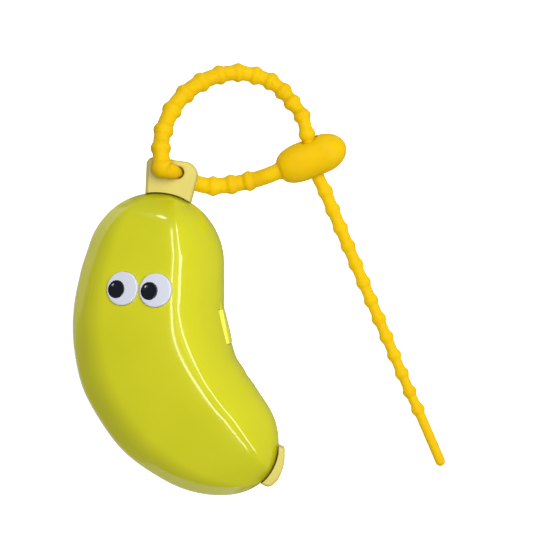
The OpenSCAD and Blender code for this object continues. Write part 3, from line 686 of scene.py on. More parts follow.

# %% [markdown]
# ### Dressing a piece
# Every finished piece goes the same way: it is shaded smooth up to a sharp angle, tied to the body
# it moves with, and given its material. Where it stands in for a CAD node, that node is hidden.
# The strap comes first.
# %% Dress the strap
def finish_with(piece, material):
    piece.data.materials.clear()
    piece.data.materials.append(material)


def dress(piece, body, material, stands_for=None, sharp_angle=40):
    smooth(piece, sharp_angle)
    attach(piece, body)
    if stands_for:
        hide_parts(stands_for)
    finish_with(piece, material)


dress(strap, "root", silicone, "strap", 80)
dress(head, "root", silicone, "strap_head", 50)

# %% [markdown]
# ## Front shell
# The lid is one moulding: two flanks that meet in a soft ridge, a wall of even thickness and a
# flat rim. It could be sculpted or built as a subdivided cage, but then its skin would leave the
# CAD's. So it follows the same curve law. The law says where the ridge is at each place along the
# case, and how each flank falls from the ridge to the edge.
# %% Ridge and flanks
front_depth, rim_gap, wall = 23 * MM, 0.3 * MM, 2 * MM
ridge_stem, ridge_tip, ridge_swing, ridge_skew = 0.32, 0.11, 0.25, 1.76
left_soft, right_soft, flank_power, right_power = 0.045, 0.1, 1.12, 1.7
left_fall, left_steep, facet_blend, left_skirt, skirt_power = 0.68, 1.95, 0.12, 0.09, 200
front_rim = parting + rim_gap


def ridge(s):
    u = np.clip(np.asarray(s) / spine_len, 0, 1)
    return ridge_stem + (ridge_tip - ridge_stem) * u + ridge_swing * np.sin(math.pi * u**ridge_skew)


def softened(v, soft):
    return (math.hypot(v, soft) - soft) / (math.hypot(1, soft) - soft)


def left_flank(v):
    """Height of the left flank, from 1 on the ridge to 0 at the edge: two facets, softly joined."""
    top = 1 - left_fall * softened(v, left_soft) ** flank_power
    side = left_steep * (1 - v) + left_skirt * (1 - v**skirt_power)
    near = max(facet_blend - abs(top - side), 0) / facet_blend
    return min(top, side) - near * near * facet_blend / 4


def right_flank(v):
    return max(0.0, 1 - softened(v, right_soft) ** flank_power) ** (1 / right_power)


ridge_offsets = [round(float(ridge(s * spine_len)), 2) for s in (0, 0.5, 1)]
print("ridge as a share of the half width at stem, middle and tip:", ridge_offsets)

# %% [markdown]
# ### Skin of the lid
# The columns lie closer together towards the edges, where the skin turns down steeply. There are
# more of them than in the CAD, so that the long highlights run smoothly. The inner skin follows
# the same law, drawn in by the thickness of the wall.
# %% Front shell skin
left_cols, right_cols = 44, 36


def front_columns(inset):
    w = half_width(inset)
    r = ridge(stations()) * w
    rise = (front_depth * ring_girth / mid_half - rim_gap - inset) * shrink
    rise = np.maximum(rise - edge_round, 0)
    foot = front_rim + edge_round
    left_shares = [math.cos(math.pi / 2 * j / left_cols) for j in range(left_cols + 1)]
    right_shares = [math.sin(math.pi / 2 * j / right_cols) for j in range(1, right_cols + 1)]
    left = [column(inset, r - v * (r + w), foot + rise * left_flank(v)) for v in left_shares]
    right = [column(inset, r + v * (w - r), foot + rise * right_flank(v)) for v in right_shares]
    return left + right


front_edges = outer_edge(0, front_rim, 1)[1:] + inner_edge(wall, front_rim, 1)[:-1]
front_cover = shell("front_cover", front_columns(0.0), front_edges, front_columns(wall))
print("front cover faces:", len(front_cover.data.polygons))

# %% [markdown]
# ### Places on the front
# The eye discs lie in shallow round recesses, square to the skin. They could be turned by eye
# until they look right, but a disc that isn't square to the skin stands out on one side. So the
# height and slope of the skin are worked out at any place along and across the case, and a matrix
# stands there.
# %% Standing on the front skin
def front_height(s, x):
    """Height of the skin at a place along the middle line (s) and across it (x)."""
    if s < stem_round:
        end = math.sqrt(1 - (1 - s / stem_round) ** 2)
    elif s > spine_len - tip_round:
        end = math.sqrt(1 - (1 - (spine_len - s) / tip_round) ** 2)
    else:
        end = 1.0
    w = float(girth(s)) * end
    r = float(ridge(s)) * w
    up = left_flank((r - x) / (r + w)) if x < r else right_flank((x - r) / (w - r))
    return front_rim + (front_depth * float(girth(s)) / mid_half - rim_gap) * end * up


def on_front(s, x):
    """A matrix that stands on the skin, square to it, with the slope felt half a step each way."""
    step = 0.5 * MM
    across = (front_height(s, x + step) - front_height(s, x - step)) / (2 * step)
    along = (front_height(s + step, x) - front_height(s - step, x)) / (2 * step)
    way = float(turn(s))
    fall = across * sideways(way) + along * heading(way)
    plan = spine(s) + x * sideways(way)
    swing = math.atan2(-fall[1], -fall[0])
    tilt = math.atan(float(np.linalg.norm(fall)))
    stand = Matrix.Translation((plan[0], plan[1], front_height(s, x)))
    spin = Matrix.Rotation(swing, 4, "Z")
    return stand @ spin @ Matrix.Rotation(tilt, 4, "Y") @ spin.inverted()


left_eye = on_front(34.8 * MM, -9.3 * MM)
right_eye = on_front(33.8 * MM, 2.2 * MM)

# %% [markdown]
# ## Frames for the hinge and the clasp
# The hinge pin runs along Y where the outline reaches furthest to the left. The clasp stands on
# the inner side of the bend. Both places could be typed in again, but they come from the packed
# joints, so they can't drift away from the bodies that turn there. The sizes of the knuckles are
# those of the CAD.
# %% Joint frames
joints = {j["name"]: j for j in frame["joints"]}
hinge_at = Vector(joints["lid_hinge"]["pos_m"])
clasp_pin_at = Vector(joints["clasp_flip"]["pos_m"])
clasp_axis = Vector(joints["clasp_flip"]["axis"])
clasp_turn = math.atan2(clasp_axis.x, -clasp_axis.y)
clasp_pin_inset, clasp_pin_rise = 1.6 * MM, 5 * MM
clasp_out = Vector((math.cos(clasp_turn), math.sin(clasp_turn), 0))
clasp_foot = clasp_pin_at + clasp_pin_inset * clasp_out
clasp_foot.z = parting
clasp_frame = Matrix.Translation(clasp_foot) @ Matrix.Rotation(clasp_turn, 4, "Z")
hinge_len, knuckle_gap, knuckle_count = 18 * MM, 0.3 * MM, 5
knuckle_r, pin_r, pin_clear = 1.4 * MM, 0.5 * MM, 0.05 * MM
hinge_inset, hinge_drop = 1.9 * MM, 3.5 * MM
knuckle_len = (hinge_len - (knuckle_count - 1) * knuckle_gap) / knuckle_count
knuckle_step = knuckle_len + knuckle_gap
print(f"clasp turned {math.degrees(clasp_turn):.2f} degrees")

# %% [markdown]
# ## Shapes that cut
# Recesses and bores are cut with boxes and rods. Such a cutter is built at the origin and then put
# in its place. It goes out of the scene once it has cut.
# %% Cutting shapes
def box_piece(name, low, high):
    (x0, y0, z0), (x1, y1, z1) = low, high
    points = [(x, y, z) for z in (z0, z1) for y in (y0, y1) for x in (x0, x1)]
    faces = [(0, 2, 3, 1), (4, 5, 7, 6), (0, 1, 5, 4), (2, 6, 7, 3), (0, 4, 6, 2), (1, 3, 7, 5)]
    return close_up(piece_from(name, points, faces))


def rod_piece(name, radius, low, high, axis="Z", sides=48):
    rod = lathe(name, [(0, low), (radius, low), (radius, high), (0, high)], sides)
    return placed(rod, Matrix.Rotation(-math.pi / 2, 4, "X")) if axis == "Y" else rod


# %% [markdown]
# ### Recess of the clasp
# The clasp lies in a recess that both shells share: room for its plate, for its knuckle to turn in
# and, in the back shell, for the hook. Each room is a plain shape with a clearance round what it
# takes, so the clasp can be flipped without touching. The same cutters are built once for each
# shell.
# %% Clasp recess cutters
clasp_len, clasp_room, clasp_swing = 12.2 * MM, 0.3 * MM, 0.9 * MM
end_room = 0.12 * MM
clasp_knuckle_r, clasp_plate, clasp_proud = 1.6 * MM, 1.7 * MM, 0.9 * MM
clasp_drop, hook_reach, hook_lift, hook_tall = 6.4 * MM, 0.9 * MM, 1.2 * MM, 1.4 * MM
plate_in = clasp_proud - clasp_plate
hook_bottom = -clasp_drop + hook_lift
hook_top = hook_bottom + hook_tall
knuckle_room = clasp_knuckle_r + clasp_swing
recess_half = clasp_len / 2 + end_room
recess_floor = plate_in - clasp_room
outside = 6 * MM


def clasp_cutters():
    knuckle = rod_piece("knuckle_room", knuckle_room, -recess_half, recess_half, "Y")
    placed(knuckle, Matrix.Translation((-clasp_pin_inset, 0, clasp_pin_rise)))
    swing = box_piece("swing_room", (-clasp_pin_inset, -recess_half, clasp_pin_rise),
                      (outside, recess_half, clasp_pin_rise + knuckle_room))
    plate = box_piece("plate_room", (recess_floor, -recess_half, -clasp_drop - clasp_room),
                      (outside, recess_half, clasp_pin_rise))
    return [placed(piece, clasp_frame) for piece in (knuckle, swing, plate)]


def hook_cutter():
    low = (recess_floor - hook_reach, -recess_half, hook_bottom - 2 * clasp_room)
    high = (outside, recess_half, hook_top + clasp_room)
    return placed(box_piece("hook_room", low, high), clasp_frame)


# %% [markdown]
# ### Recesses in the lid
# Two round recesses take the eye discs. With the clasp's recess cut too, the lid's skin is done.
# %% Cut the front shell
eye_r, eye_room, eye_sink = 5.9 * MM, 0.1 * MM, 0.5 * MM
above_skin = 10 * MM


def eye_cutter(stand):
    cutter = rod_piece("eye_room", eye_r + eye_room, -eye_sink, above_skin, sides=96)
    return placed(cutter, stand)


cut(front_cover, [eye_cutter(left_eye), eye_cutter(right_eye), *clasp_cutters()])
dress(front_cover, "lid", shell_plastic, "front_shell")
print("front cover after cutting:", len(front_cover.data.polygons))

# %% [markdown]
# ## Back shell
# The back is one round dome, cut flat where it lies on the table, so that the case doesn't roll. A
# Boolean could make the flat, but the dome's points only have to stop at the table. Its rim
# carries a lip that goes up inside the lid and keeps the shells in line.
# %% Back shell skin
back_round_depth, back_power = 15.6 * MM, 2.6
rim_wall, lip_rise, lip_room = 3.6 * MM, 1.5 * MM, 0.45 * MM
back_cols = 72


def back_columns(inset, floor_z):
    """Columns of the dome. Outside it starts lower, where the rim's rounded edge ends."""
    fall = (back_round_depth * ring_girth / mid_half - inset) * shrink
    start = parting - (edge_round if inset == 0 else 0)
    fall = np.maximum(fall - (parting - start), 0)
    columns = []
    for j in range(back_cols + 1):
        v = -math.cos(math.pi * j / back_cols)
        depth = fall * math.sqrt(max(0.0, 1 - abs(v) ** back_power))
        columns.append(column(inset, v * half_width(inset), np.maximum(floor_z, start - depth)))
    return columns


lip_out, lip_top = wall + lip_room, parting + lip_rise
back_edges = (
    outer_edge(0, parting, -1)[1:] + [(lip_out, parting)]
    + outer_edge(lip_out, lip_top, -1) + inner_edge(rim_wall, lip_top, -1)
)
back_tray = shell("back_tray", back_columns(0.0, 0.0), back_edges, back_columns(rim_wall, wall))
print("back tray faces:", len(back_tray.data.polygons))

# %% [markdown]
# ### Windows for the hinge
# Where one of the lid's two knuckles sits, the edge of the back shell is open: a round room for the
# knuckle and boxes for its arm. Beside the hinge the rim is eased a little, so that the lid's rim
# can turn over it.
# %% Hinge windows
hinge_ease, swing_room = 0.35 * MM, 1 * MM
arm_out, arm_in = 0.9 * MM, wall - hinge_inset + 0.3 * MM


def knuckle_start(k):
    return hinge_at + Vector((0, -hinge_len / 2 + k * knuckle_step, 0))


def knuckle_window(k):
    start = knuckle_start(k) - Vector((0, knuckle_gap, 0))
    length = knuckle_len + 2 * knuckle_gap
    round_room = rod_piece("window_round", knuckle_r + knuckle_gap, 0, length, "Y")
    upper = box_piece("window_upper", (-outside, 0, 0),
                      (arm_in + knuckle_gap, length, hinge_drop + 2 * lip_rise))
    lower = box_piece("window_lower", (-outside, 0, -knuckle_r - swing_room),
                      (0, length, swing_room))
    return [placed(piece, Matrix.Translation(start)) for piece in (round_room, upper, lower)]


def hinge_easing():
    low = (-outside, -outside / 2, hinge_drop - hinge_ease)
    high = (wall - hinge_inset, hinge_len + outside / 2, hinge_drop + hinge_ease)
    return placed(box_piece("easing", low, high), Matrix.Translation(knuckle_start(0)))


# %% [markdown]
# ### Pockets for the screws
# The stem block and the tip cap are screwed on from inside, so each screw head has a round pocket.
# The frames of both blocks are set here, because the screws stand in them.
# %% Cut the back shell
seat_depth, pocket_deep = rim_wall, 6 * MM
screw_drop, screw_spread, screw_head_r, screw_clear = 3 * MM, 3.4 * MM, 1.7 * MM, 0.1 * MM
cap_angle = math.radians(62)


def upright_frame(plan, turned):
    """Where a block stands: a place in plan, at the parting plane, turned round the vertical."""
    return Matrix.Translation((*plan, parting)) @ Matrix.Rotation(turned, 4, "Z")


stem_frame = upright_frame(stem_end, lean)
tip_frame = upright_frame(spine(spine_len), cap_angle - math.pi)


def screw_pocket(stand, x):
    pocket_r = screw_head_r + 3 * screw_clear
    pocket = rod_piece("pocket", pocket_r, -pocket_deep - seat_depth, -seat_depth, "Y")
    return placed(pocket, stand @ Matrix.Translation((x, 0, -screw_drop)))


back_cutters = [
    *knuckle_window(1), *knuckle_window(3), hinge_easing(), *clasp_cutters(), hook_cutter(),
    screw_pocket(stem_frame, -screw_spread), screw_pocket(stem_frame, screw_spread),
    screw_pocket(tip_frame, 0),
]
cut(back_tray, back_cutters)
dress(back_tray, "root", shell_plastic, "back_shell")
print("back tray after cutting:", len(back_tray.data.polygons))

# %% [markdown]
# ## Hinge knuckles
# Five knuckles sit in one row on a wire pin, three on the back shell and two on the lid. An Array
# modifier could repeat one, but a Geometry Nodes tree also shapes it from named sizes. A rounded
# rectangle is swept round a circle, which gives a ring with a bore, and a line of points places
# the rings.
# %% Knuckle tree
def make_knuckle_tree():
    tree, entry, leave = group_with(
        "Knuckle row", "GeometryNodeTree",
        [("Count", "Int"), ("Step", "Float"), ("Length", "Float"), ("Outer radius", "Float"),
         ("Bore radius", "Float"), ("Edge radius", "Float"), ("Material", "Material")],
        [("Geometry", "Geometry")],
    )

    def worked_out(operation, first, second):
        return add_node(tree, "ShaderNodeMath", {0: first, 1: second}, operation=operation)

    outer, bore_size = entry["Outer radius"], entry["Bore radius"]
    middle = worked_out("MULTIPLY", worked_out("ADD", outer, bore_size), 0.5)
    thick = worked_out("SUBTRACT", outer, bore_size)
    circle = add_node(
        tree, "GeometryNodeCurvePrimitiveCircle", {"Resolution": 40, "Radius": middle}
    )
    section = add_node(
        tree, "GeometryNodeCurvePrimitiveQuadrilateral", {"Width": thick, "Height": entry["Length"]}
    )
    corners = {"Curve": section, "Count": 4, "Radius": entry["Edge radius"]}
    rounded_section = add_node(tree, "GeometryNodeFilletCurve", corners, mode="POLY")
    ring = add_node(
        tree, "GeometryNodeCurveToMesh", {"Curve": circle, "Profile Curve": rounded_section}
    )
    offset = add_node(tree, "ShaderNodeCombineXYZ", {"Y": entry["Step"]})
    line = add_node(tree, "GeometryNodeMeshLine", {"Count": entry["Count"], "Offset": offset})
    turned = {"Points": line, "Instance": ring, "Rotation": (math.pi / 2, 0, 0)}
    rings = add_node(tree, "GeometryNodeInstanceOnPoints", turned)
    real = add_node(tree, "GeometryNodeRealizeInstances", {"Geometry": rings})
    paint = {"Geometry": real, "Material": entry["Material"]}
    feed(leave, {"Geometry": add_node(tree, "GeometryNodeSetMaterial", paint)})
    return tree


knuckle_tree = make_knuckle_tree()
print("knuckle tree nodes:", len(knuckle_tree.nodes))

# %% [markdown]
# ### The two rows
# Each body gets its own row from the same tree. Every second knuckle belongs to the same body, so a
# row steps by two knuckles at a time. An input is set by its socket's identifier before the tree
# runs, and the result is kept as a plain mesh.
# %% Knuckle rows
knuckle_round = 0.15 * MM


def grown_from(tree, name, values):
    """Runs a tree with the given inputs and keeps its result as a plain mesh."""
    holder = piece_from(name, [], [])
    modifier = holder.modifiers.new("tree", "NODES")
    modifier.node_group = tree
    identifiers = {
        item.name: item.identifier for item in tree.interface.items_tree if item.in_out == "INPUT"
    }
    for label, value in values.items():
        modifier[identifiers[label]] = value
    holder.update_tag()
    return with_modifiers_applied(holder)


def knuckle_row(name, first, count, body):
    row = grown_from(knuckle_tree, name, {
        "Count": count, "Step": 2 * knuckle_step, "Length": knuckle_len,
        "Outer radius": knuckle_r, "Bore radius": pin_r + pin_clear,
        "Edge radius": knuckle_round, "Material": shell_plastic,
    })
    middle = knuckle_start(first) + Vector((0, knuckle_len / 2, 0))
    placed(row, Matrix.Translation(middle))
    close_up(row, 1e-7)
    smooth(row, 40)
    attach(row, body)
    return row


back_knuckles = knuckle_row("back_knuckles", 0, 3, "root")
front_knuckles = knuckle_row("front_knuckles", 1, 2, "lid")
print("knuckle faces:", len(back_knuckles.data.polygons), len(front_knuckles.data.polygons))

# %% [markdown]
# ### Arms of the lid's knuckles
# An arm joins each of the lid's knuckles to its rim. It is hidden when the case is shut, so a small
# block with its edges rounded and the pin's bore cut through it is enough.
# %% Knuckle arms
arm_round, bore_past = 0.2 * MM, 1 * MM

for k in (1, 3):
    low = (-arm_out, 0, -arm_round)
    high = (arm_in, knuckle_len, hinge_drop + rim_gap + wall)
    arm = box_piece(f"knuckle_arm_{k}", low, high)
    rounded(arm, arm_round)
    placed(arm, Matrix.Translation(knuckle_start(k)))
    bore_way = rod_piece(
        "bore_way", pin_r + pin_clear, -bore_past, knuckle_len + bore_past, "Y", 32
    )
    cut(arm, [placed(bore_way, Matrix.Translation(knuckle_start(k)))])
    dress(arm, "lid", shell_plastic)
    print(arm.name, "faces:", len(arm.data.polygons))

# %% [markdown]
# ## Rests inside the back shell
# Two thin plates stand across the tray, each with a round notch that holds the brush. A plate could
# be cut from the dome with a Boolean, but its outline is easy to work out: it follows the inside of
# the dome. Such an outline only has to be given a thickness.
# %% Brush rests
rest_thick, rest_top, rest_round = 1.6 * MM, 7.5 * MM, 0.2 * MM
rest_notch, notch_rise = 5 * MM, 1 * MM
rest_places = (34 * MM, 80 * MM)


def rest_outline(s):
    low = (rim_wall + wall) / 2
    w = float(girth(s)) - low
    fall = back_round_depth * float(girth(s)) / mid_half - low
    outline = []
    for a in np.linspace(0, math.pi, 61):
        v = -math.cos(a)
        z = max(wall / 2, parting - fall * math.sqrt(max(0.0, 1 - abs(v) ** back_power)))
        if z <= rest_top:
            outline.append((v * w, z))
    edge_v = (1 - ((parting - rest_top) / fall) ** 2) ** (1 / back_power)
    notch_mid = rest_top + notch_rise
    notch_half = math.asin(notch_rise / rest_notch)
    outline.append((edge_v * w, rest_top))
    for a in np.linspace(-notch_half, -math.pi + notch_half, 25):
        outline.append((rest_notch * math.cos(a), notch_mid + rest_notch * math.sin(a)))
    outline.append((-edge_v * w, rest_top))
    return [(float(widened(s, x, girth(s))), z) for x, z in outline]


def prism(name, outline, low, high, stand):
    """A prism with its outline in X and Z, between two places along Y."""
    loops = [[(x, y, z) for x, z in outline] for y in (low, high)]
    return placed(stacked(name, loops), stand)


for number, s in enumerate(rest_places, start=1):
    stand = Matrix.Translation((*spine(s), 0)) @ Matrix.Rotation(float(turn(s)), 4, "Z")
    rest = prism(f"brush_rest_{number}", rest_outline(s), -rest_thick / 2, rest_thick / 2, stand)
    rounded(rest, rest_round, 2, 50)
    dress(rest, "root", shell_plastic)
    print(rest.name, "faces:", len(rest.data.polygons))

# %% [markdown]
# ## Clasp
# The clasp is a small moulded lever: a knuckle on a pin in the lid, a plate that lies over the
# edge and a hook under a ledge of the back shell. It could be joined from a cylinder and boxes,
# but then its seams would show. Its side view is one outline, repeated along the edge of the case.
# The plate grows thinner towards the upper end, as the photograph shows. Then all edges are
# rounded.
# %% Clasp mesh
plate_share, plate_taper = 0.75, 0.48
plate_lip, lip_run, plate_gap, hook_slope = 0.3 * MM, 2 * MM, 0.8 * MM, 0.4 * MM
clasp_round, pin_room_r = 0.18 * MM, 0.65 * MM


def clasp_outline():
    pin_x = -clasp_pin_inset
    plate_top = clasp_pin_rise - clasp_knuckle_r - plate_gap
    arc = [(pin_x + clasp_knuckle_r * math.cos(a), clasp_pin_rise + clasp_knuckle_r * math.sin(a))
           for a in np.radians(np.linspace(20, 270, 29))]
    return [
        (plate_in, -clasp_drop), (clasp_proud + plate_lip, -clasp_drop),
        (clasp_proud, -clasp_drop + lip_run), (clasp_proud, plate_top), *arc,
        (plate_in, plate_top), (plate_in, hook_top + hook_slope),
        (plate_in - hook_reach, hook_top), (plate_in, hook_bottom),
    ]


def clasp_loop(y):
    """The outline at one place along the clasp, with what lies outside made thinner."""
    share = plate_share - plate_taper * (y / clasp_len + 0.5) ** 1.5
    return [(plate_in + (x - plate_in) * share if x > plate_in else x, y, z)
            for x, z in clasp_outline()]


clasp_loops = [clasp_loop(y) for y in np.linspace(-clasp_len / 2, clasp_len / 2, 13)]
clasp = placed(stacked("flip_clasp", clasp_loops), clasp_frame)
rounded(clasp, clasp_round, 3, 30)
pin_way = rod_piece("pin_way", pin_room_r, -clasp_len, clasp_len, "Y", 32)
pin_stand = clasp_frame @ Matrix.Translation((-clasp_pin_inset, 0, clasp_pin_rise))
cut(clasp, [placed(pin_way, pin_stand)])
dress(clasp, "clasp", clasp_plastic, "clasp", 45)
print("clasp faces:", len(clasp.data.polygons))

# %% [markdown]
# ### Block behind the clasp
# Inside the lid a block carries the clasp's pin. Its side view is one outline too, and it is
# hidden when the case is shut, so its edges stay plain. The cutters of the recess hollow it.
# %% Clasp block
boss_back, boss_over, boss_lean, boss_side = 1.2 * MM, 0.9 * MM, 1 * MM, 2 * MM


def boss_outline():
    boss_in = -clasp_pin_inset - knuckle_room - boss_back
    boss_low = lip_rise + lip_room
    boss_high = clasp_pin_rise + knuckle_room + boss_over
    return [(boss_in, boss_low), (-wall / 2, boss_low), (-wall / 2, clasp_pin_rise - boss_lean),
            (-clasp_pin_inset - wall / 2, boss_high), (boss_in, boss_high - 2 * boss_back)]


boss_half = clasp_len / 2 + clasp_room + boss_side
boss = prism("clasp_block", boss_outline(), -boss_half, boss_half, clasp_frame)
cut(boss, clasp_cutters())
dress(boss, "lid", shell_plastic, sharp_angle=30)
print("clasp block faces:", len(boss.data.polygons))

# %% [markdown]
# ### Cover of the clasp's pin
# The edge of the lid curves away over the upper end of the pin, so a small round boss covers it.
# It is a short post with a domed end, turned and laid along the pin.
# %% Pin cover
cover_r, cover_run, cover_out = 1.15 * MM, 1.6 * MM, 0.45 * MM
cover_end = [(cover_r * math.cos(a), cover_run + cover_r * math.sin(a))
             for a in np.linspace(0, math.pi / 2, 12)]
pin_cover = lathe("pin_cover", [(0, 0), (cover_r, 0), *cover_end], 40)
cover_at = (-clasp_pin_inset - cover_out, clasp_len / 2 + end_room, clasp_pin_rise)
cover_stand = clasp_frame @ Matrix.Translation(cover_at) @ Matrix.Rotation(-math.pi / 2, 4, "X")
placed(pin_cover, cover_stand)
dress(pin_cover, "lid", shell_plastic, sharp_angle=50)
print("pin cover faces:", len(pin_cover.data.polygons))

# %% [markdown]
# ## Stem block and tip cap
# Both are satin mouldings screwed on from inside. Each is a flat outline made into a thick block
# with well-rounded faces. The side towards the case is cut to the outline of the case with a small
# gap. Arcs and tangents could be drawn one after another, but the outline of a block is also the
# tightest loop round a few circles, as a rubber band would lie.
# %% Rubber band outline
def circle_points(x, y, r, count=72):
    return [(x + r * math.cos(a), y + r * math.sin(a))
            for a in np.linspace(0, 2 * math.pi, count, endpoint=False)]


def rubber_band(points):
    """The convex loop round a set of points, anticlockwise."""
    points = sorted(set(points))

    def half(source):
        chain = []
        for p in source:
            while len(chain) > 1:
                (ax, ay), (bx, by) = chain[-2], chain[-1]
                if (bx - ax) * (p[1] - ay) - (by - ay) * (p[0] - ax) > 0:
                    break
                chain.pop()
            chain.append(p)
        return chain[:-1]

    return half(points) + half(reversed(points))


prism_span = (-5 * MM, 45 * MM)


def upright(name, plan, low, high):
    return stacked(name, [[(x, y, z) for x, y in plan] for z in (low, high)])


def case_prism(gap):
    """What the case fills in plan, grown by a gap, to cut what sits against it."""
    right, left = rim_column(-gap, 1, 0.0), rim_column(-gap, -1, 0.0)
    plan = [(x, y) for x, y, _ in [*right, *left[-2:0:-1]]]
    return upright("case_prism", plan, *prism_span)


def block(name, outline, deep, rounding, segments):
    return rounded(upright(name, outline, -deep / 2, deep / 2), rounding, segments, 50)


# %% [markdown]
# ### Stem block and its slot
# The block is narrow at the foot, tight round its left corner and loose round its right one. The
# strap leaves through a slot with a long round section. Like the bore of the head it is cut with a
# flared rod, because a strap runs over soft lips and not over sharp ones.
# %% Stem block
stem_foot, stem_head, stem_tall, stem_deep = 15.4 * MM, 18.2 * MM, 11.9 * MM, 11 * MM
stem_shift, stem_skirt = 1.4 * MM, 5 * MM
stem_left_r, stem_right_r = 2.5 * MM, 4.5 * MM
slot_h, slot_len, slot_side = 4.2 * MM, 6.6 * MM, 1 * MM
seat_gap = 0.08 * MM
stem_block_round, slot_flare, slot_past = 1.5 * MM, 0.7 * MM, 1 * MM


def head_corner(hand, r):
    return circle_points(stem_shift + hand * (stem_head / 2 - r), stem_tall - r, r)


foot = [(stem_shift + hand * stem_foot / 2, y) for hand in (-1, 1) for y in (-stem_skirt, 0)]
stem_outline = rubber_band(foot + head_corner(-1, stem_left_r) + head_corner(1, stem_right_r))
stem_block = block("stem_body", stem_outline, stem_deep, stem_block_round, 5)


def slot_cutter():
    """A rod with the slot's long round section, flared at both faces."""
    reach, run = stem_deep / 2, (slot_len - slot_h) / 2
    angles = np.linspace(0, 2 * math.pi, 48, endpoint=False)
    heights = [-reach - slot_past, -reach, *np.linspace(-reach, -reach + slot_flare, 7)[1:]]
    loops = []
    for z in heights + [-z for z in reversed(heights)]:
        near = np.clip((abs(z) - (reach - slot_flare)) / slot_flare, 0, 1)
        r = slot_h / 2 + slot_flare * (1 - math.sqrt(1 - near**2))
        loops.append([(math.copysign(run, math.cos(a)) + r * math.cos(a), r * math.sin(a), z)
                      for a in angles])
    slot_at = (stem_shift + slot_side, stem_tall - slot_h, 0)
    return placed(stacked("slot", loops), Matrix.Translation(slot_at))


cut(stem_block, [slot_cutter()])
placed(stem_block, stem_frame)
cut(stem_block, [case_prism(seat_gap)])
dress(stem_block, "root", fittings_plastic, "stem_block")
print("stem faces:", len(stem_block.data.polygons))

# %% [markdown]
# ### Tip cap
# The cap closes the other end. Its outer side is a flat arc between a small end and a large one,
# so a few circles and a piece of one very large circle are enough to make it.
# %% Tip cap
cap_deep, cap_top = 11 * MM, 3.4 * MM
cap_small_r, cap_large_r, cap_dome_r = 1.2 * MM, 2.65 * MM, 16 * MM
cap_small_end, cap_large_end = -9.1 * MM, 1.9 * MM
cap_small_span, cap_large_span = (-1.6 * MM, -0.3 * MM), (-1.5 * MM, 0.25 * MM)
cap_round, dome_mid, dome_end = 1.2 * MM, -0.6 * MM, 1.3 * MM


def cap_end(x, r, span):
    return [p for y in span for p in circle_points(x, y, r, 60)]


cap_dome = [
    (x, y) for x, y in circle_points(dome_mid, cap_top - cap_dome_r, cap_dome_r, 240)
    if cap_small_end < x < dome_end and y > 0
]
small_end = cap_end(cap_small_end, cap_small_r, cap_small_span)
large_end = cap_end(cap_large_end, cap_large_r, cap_large_span)
tip_cap = block("tip_body", rubber_band(small_end + large_end + cap_dome), cap_deep, cap_round, 4)
placed(tip_cap, tip_frame)
cut(tip_cap, [case_prism(seat_gap)])
dress(tip_cap, "root", fittings_plastic, "tip_cap")
print("tip cap faces:", len(tip_cap.data.polygons))

# %% [markdown]
# ## Eyes
# Each eye is a white disc with a rounded rim, glued into its recess, and a low black dome let into
# it. Scaled spheres would bulge too much at the rim. Both are turned shapes instead, spun from a
# profile and stood on the skin. Both pupils look the same way, a little to the left.
# %% Eye discs
eye_thick, eye_edge = 1.5 * MM, 0.45 * MM
eye_top = eye_thick - eye_sink
pupil_r, pupil_sink, pupil_step, pupil_rise = 3.1 * MM, 0.3 * MM, 0.12 * MM, 0.32 * MM
pupil_look = Matrix.Translation((-2.1 * MM, -0.3 * MM, 0))


def eye_disc(name, stand):
    edge = [(eye_r - eye_edge * (1 - math.cos(a)), eye_top - eye_edge * (1 - math.sin(a)))
            for a in np.linspace(0, math.pi / 2, 8)]
    disc = lathe(name, [(0, -eye_sink), (eye_r, -eye_sink), *edge, (0, eye_top)], 96)
    pit_r, pit_floor = pupil_r + eye_room / 2, eye_top - pupil_sink
    pit = rod_piece("pupil_room", pit_r, pit_floor, above_skin / 2, sides=64)
    return cut(placed(disc, stand), [placed(pit, stand @ pupil_look)])


def pupil_dome(name, stand):
    dome = [(pupil_r * math.sin(a), eye_top + pupil_step + (pupil_rise - pupil_step) * math.cos(a))
            for a in np.linspace(0, math.pi / 2, 16)]
    foot = [(pupil_r, eye_top - pupil_sink), (0, eye_top - pupil_sink)]
    return placed(lathe(name, dome + foot, 64), stand @ pupil_look)


for hand, stand in (("left", left_eye), ("right", right_eye)):
    white = eye_disc(f"{hand}_eye_disc", stand)
    pupil = pupil_dome(f"{hand}_pupil_dome", stand)
    dress(white, "lid", eye_plastic, f"{hand}_eye_white", 50)
    dress(pupil, "lid", pupil_plastic, f"{hand}_pupil", 50)
    print(hand, "eye faces:", len(white.data.polygons), "pupil:", len(pupil.data.polygons))

# %% [markdown]
# ## Pins and screws
# The two wire pins and the three screws have the right shape in the CAD and stay as they are. They
# only get their finish.
# %% Steel parts
for name in ("hinge_pin", "clasp_pin", "stem_screws", "tip_screw"):
    finish_with(frame["nodes"][name], steel)
    print(name, "finished in", steel.name)

# %% [markdown]
# ## Floor
# The photograph has a bright white ground with almost no shadow. The floor gives some light of its
# own to the camera, which keeps it white. It is left out of the gloss and of the light that falls
# on the case, because the cards below give both in the right places.
# %% Floor
floor_half, floor_drop = 3.0, 0.05 * MM
floor_plan = [(-floor_half, -floor_half), (floor_half, -floor_half),
              (floor_half, floor_half), (-floor_half, floor_half)]
floor = piece_from("floor", [(x, y, -floor_drop) for x, y in floor_plan], [(0, 1, 2, 3)])
floor_paint, floor_shader = new_material("Pale floor")
feed(floor_shader, {
    "Base Color": (0.9, 0.9, 0.9, 1), "Roughness": 1.0, "Specular IOR Level": 0.0,
    "Emission Color": (1, 1, 1, 1), "Emission Strength": 0.75,
})
floor.data.materials.append(floor_paint)
floor.visible_glossy = False
floor.visible_diffuse = False
print("floor width in m:", 2 * floor_half)

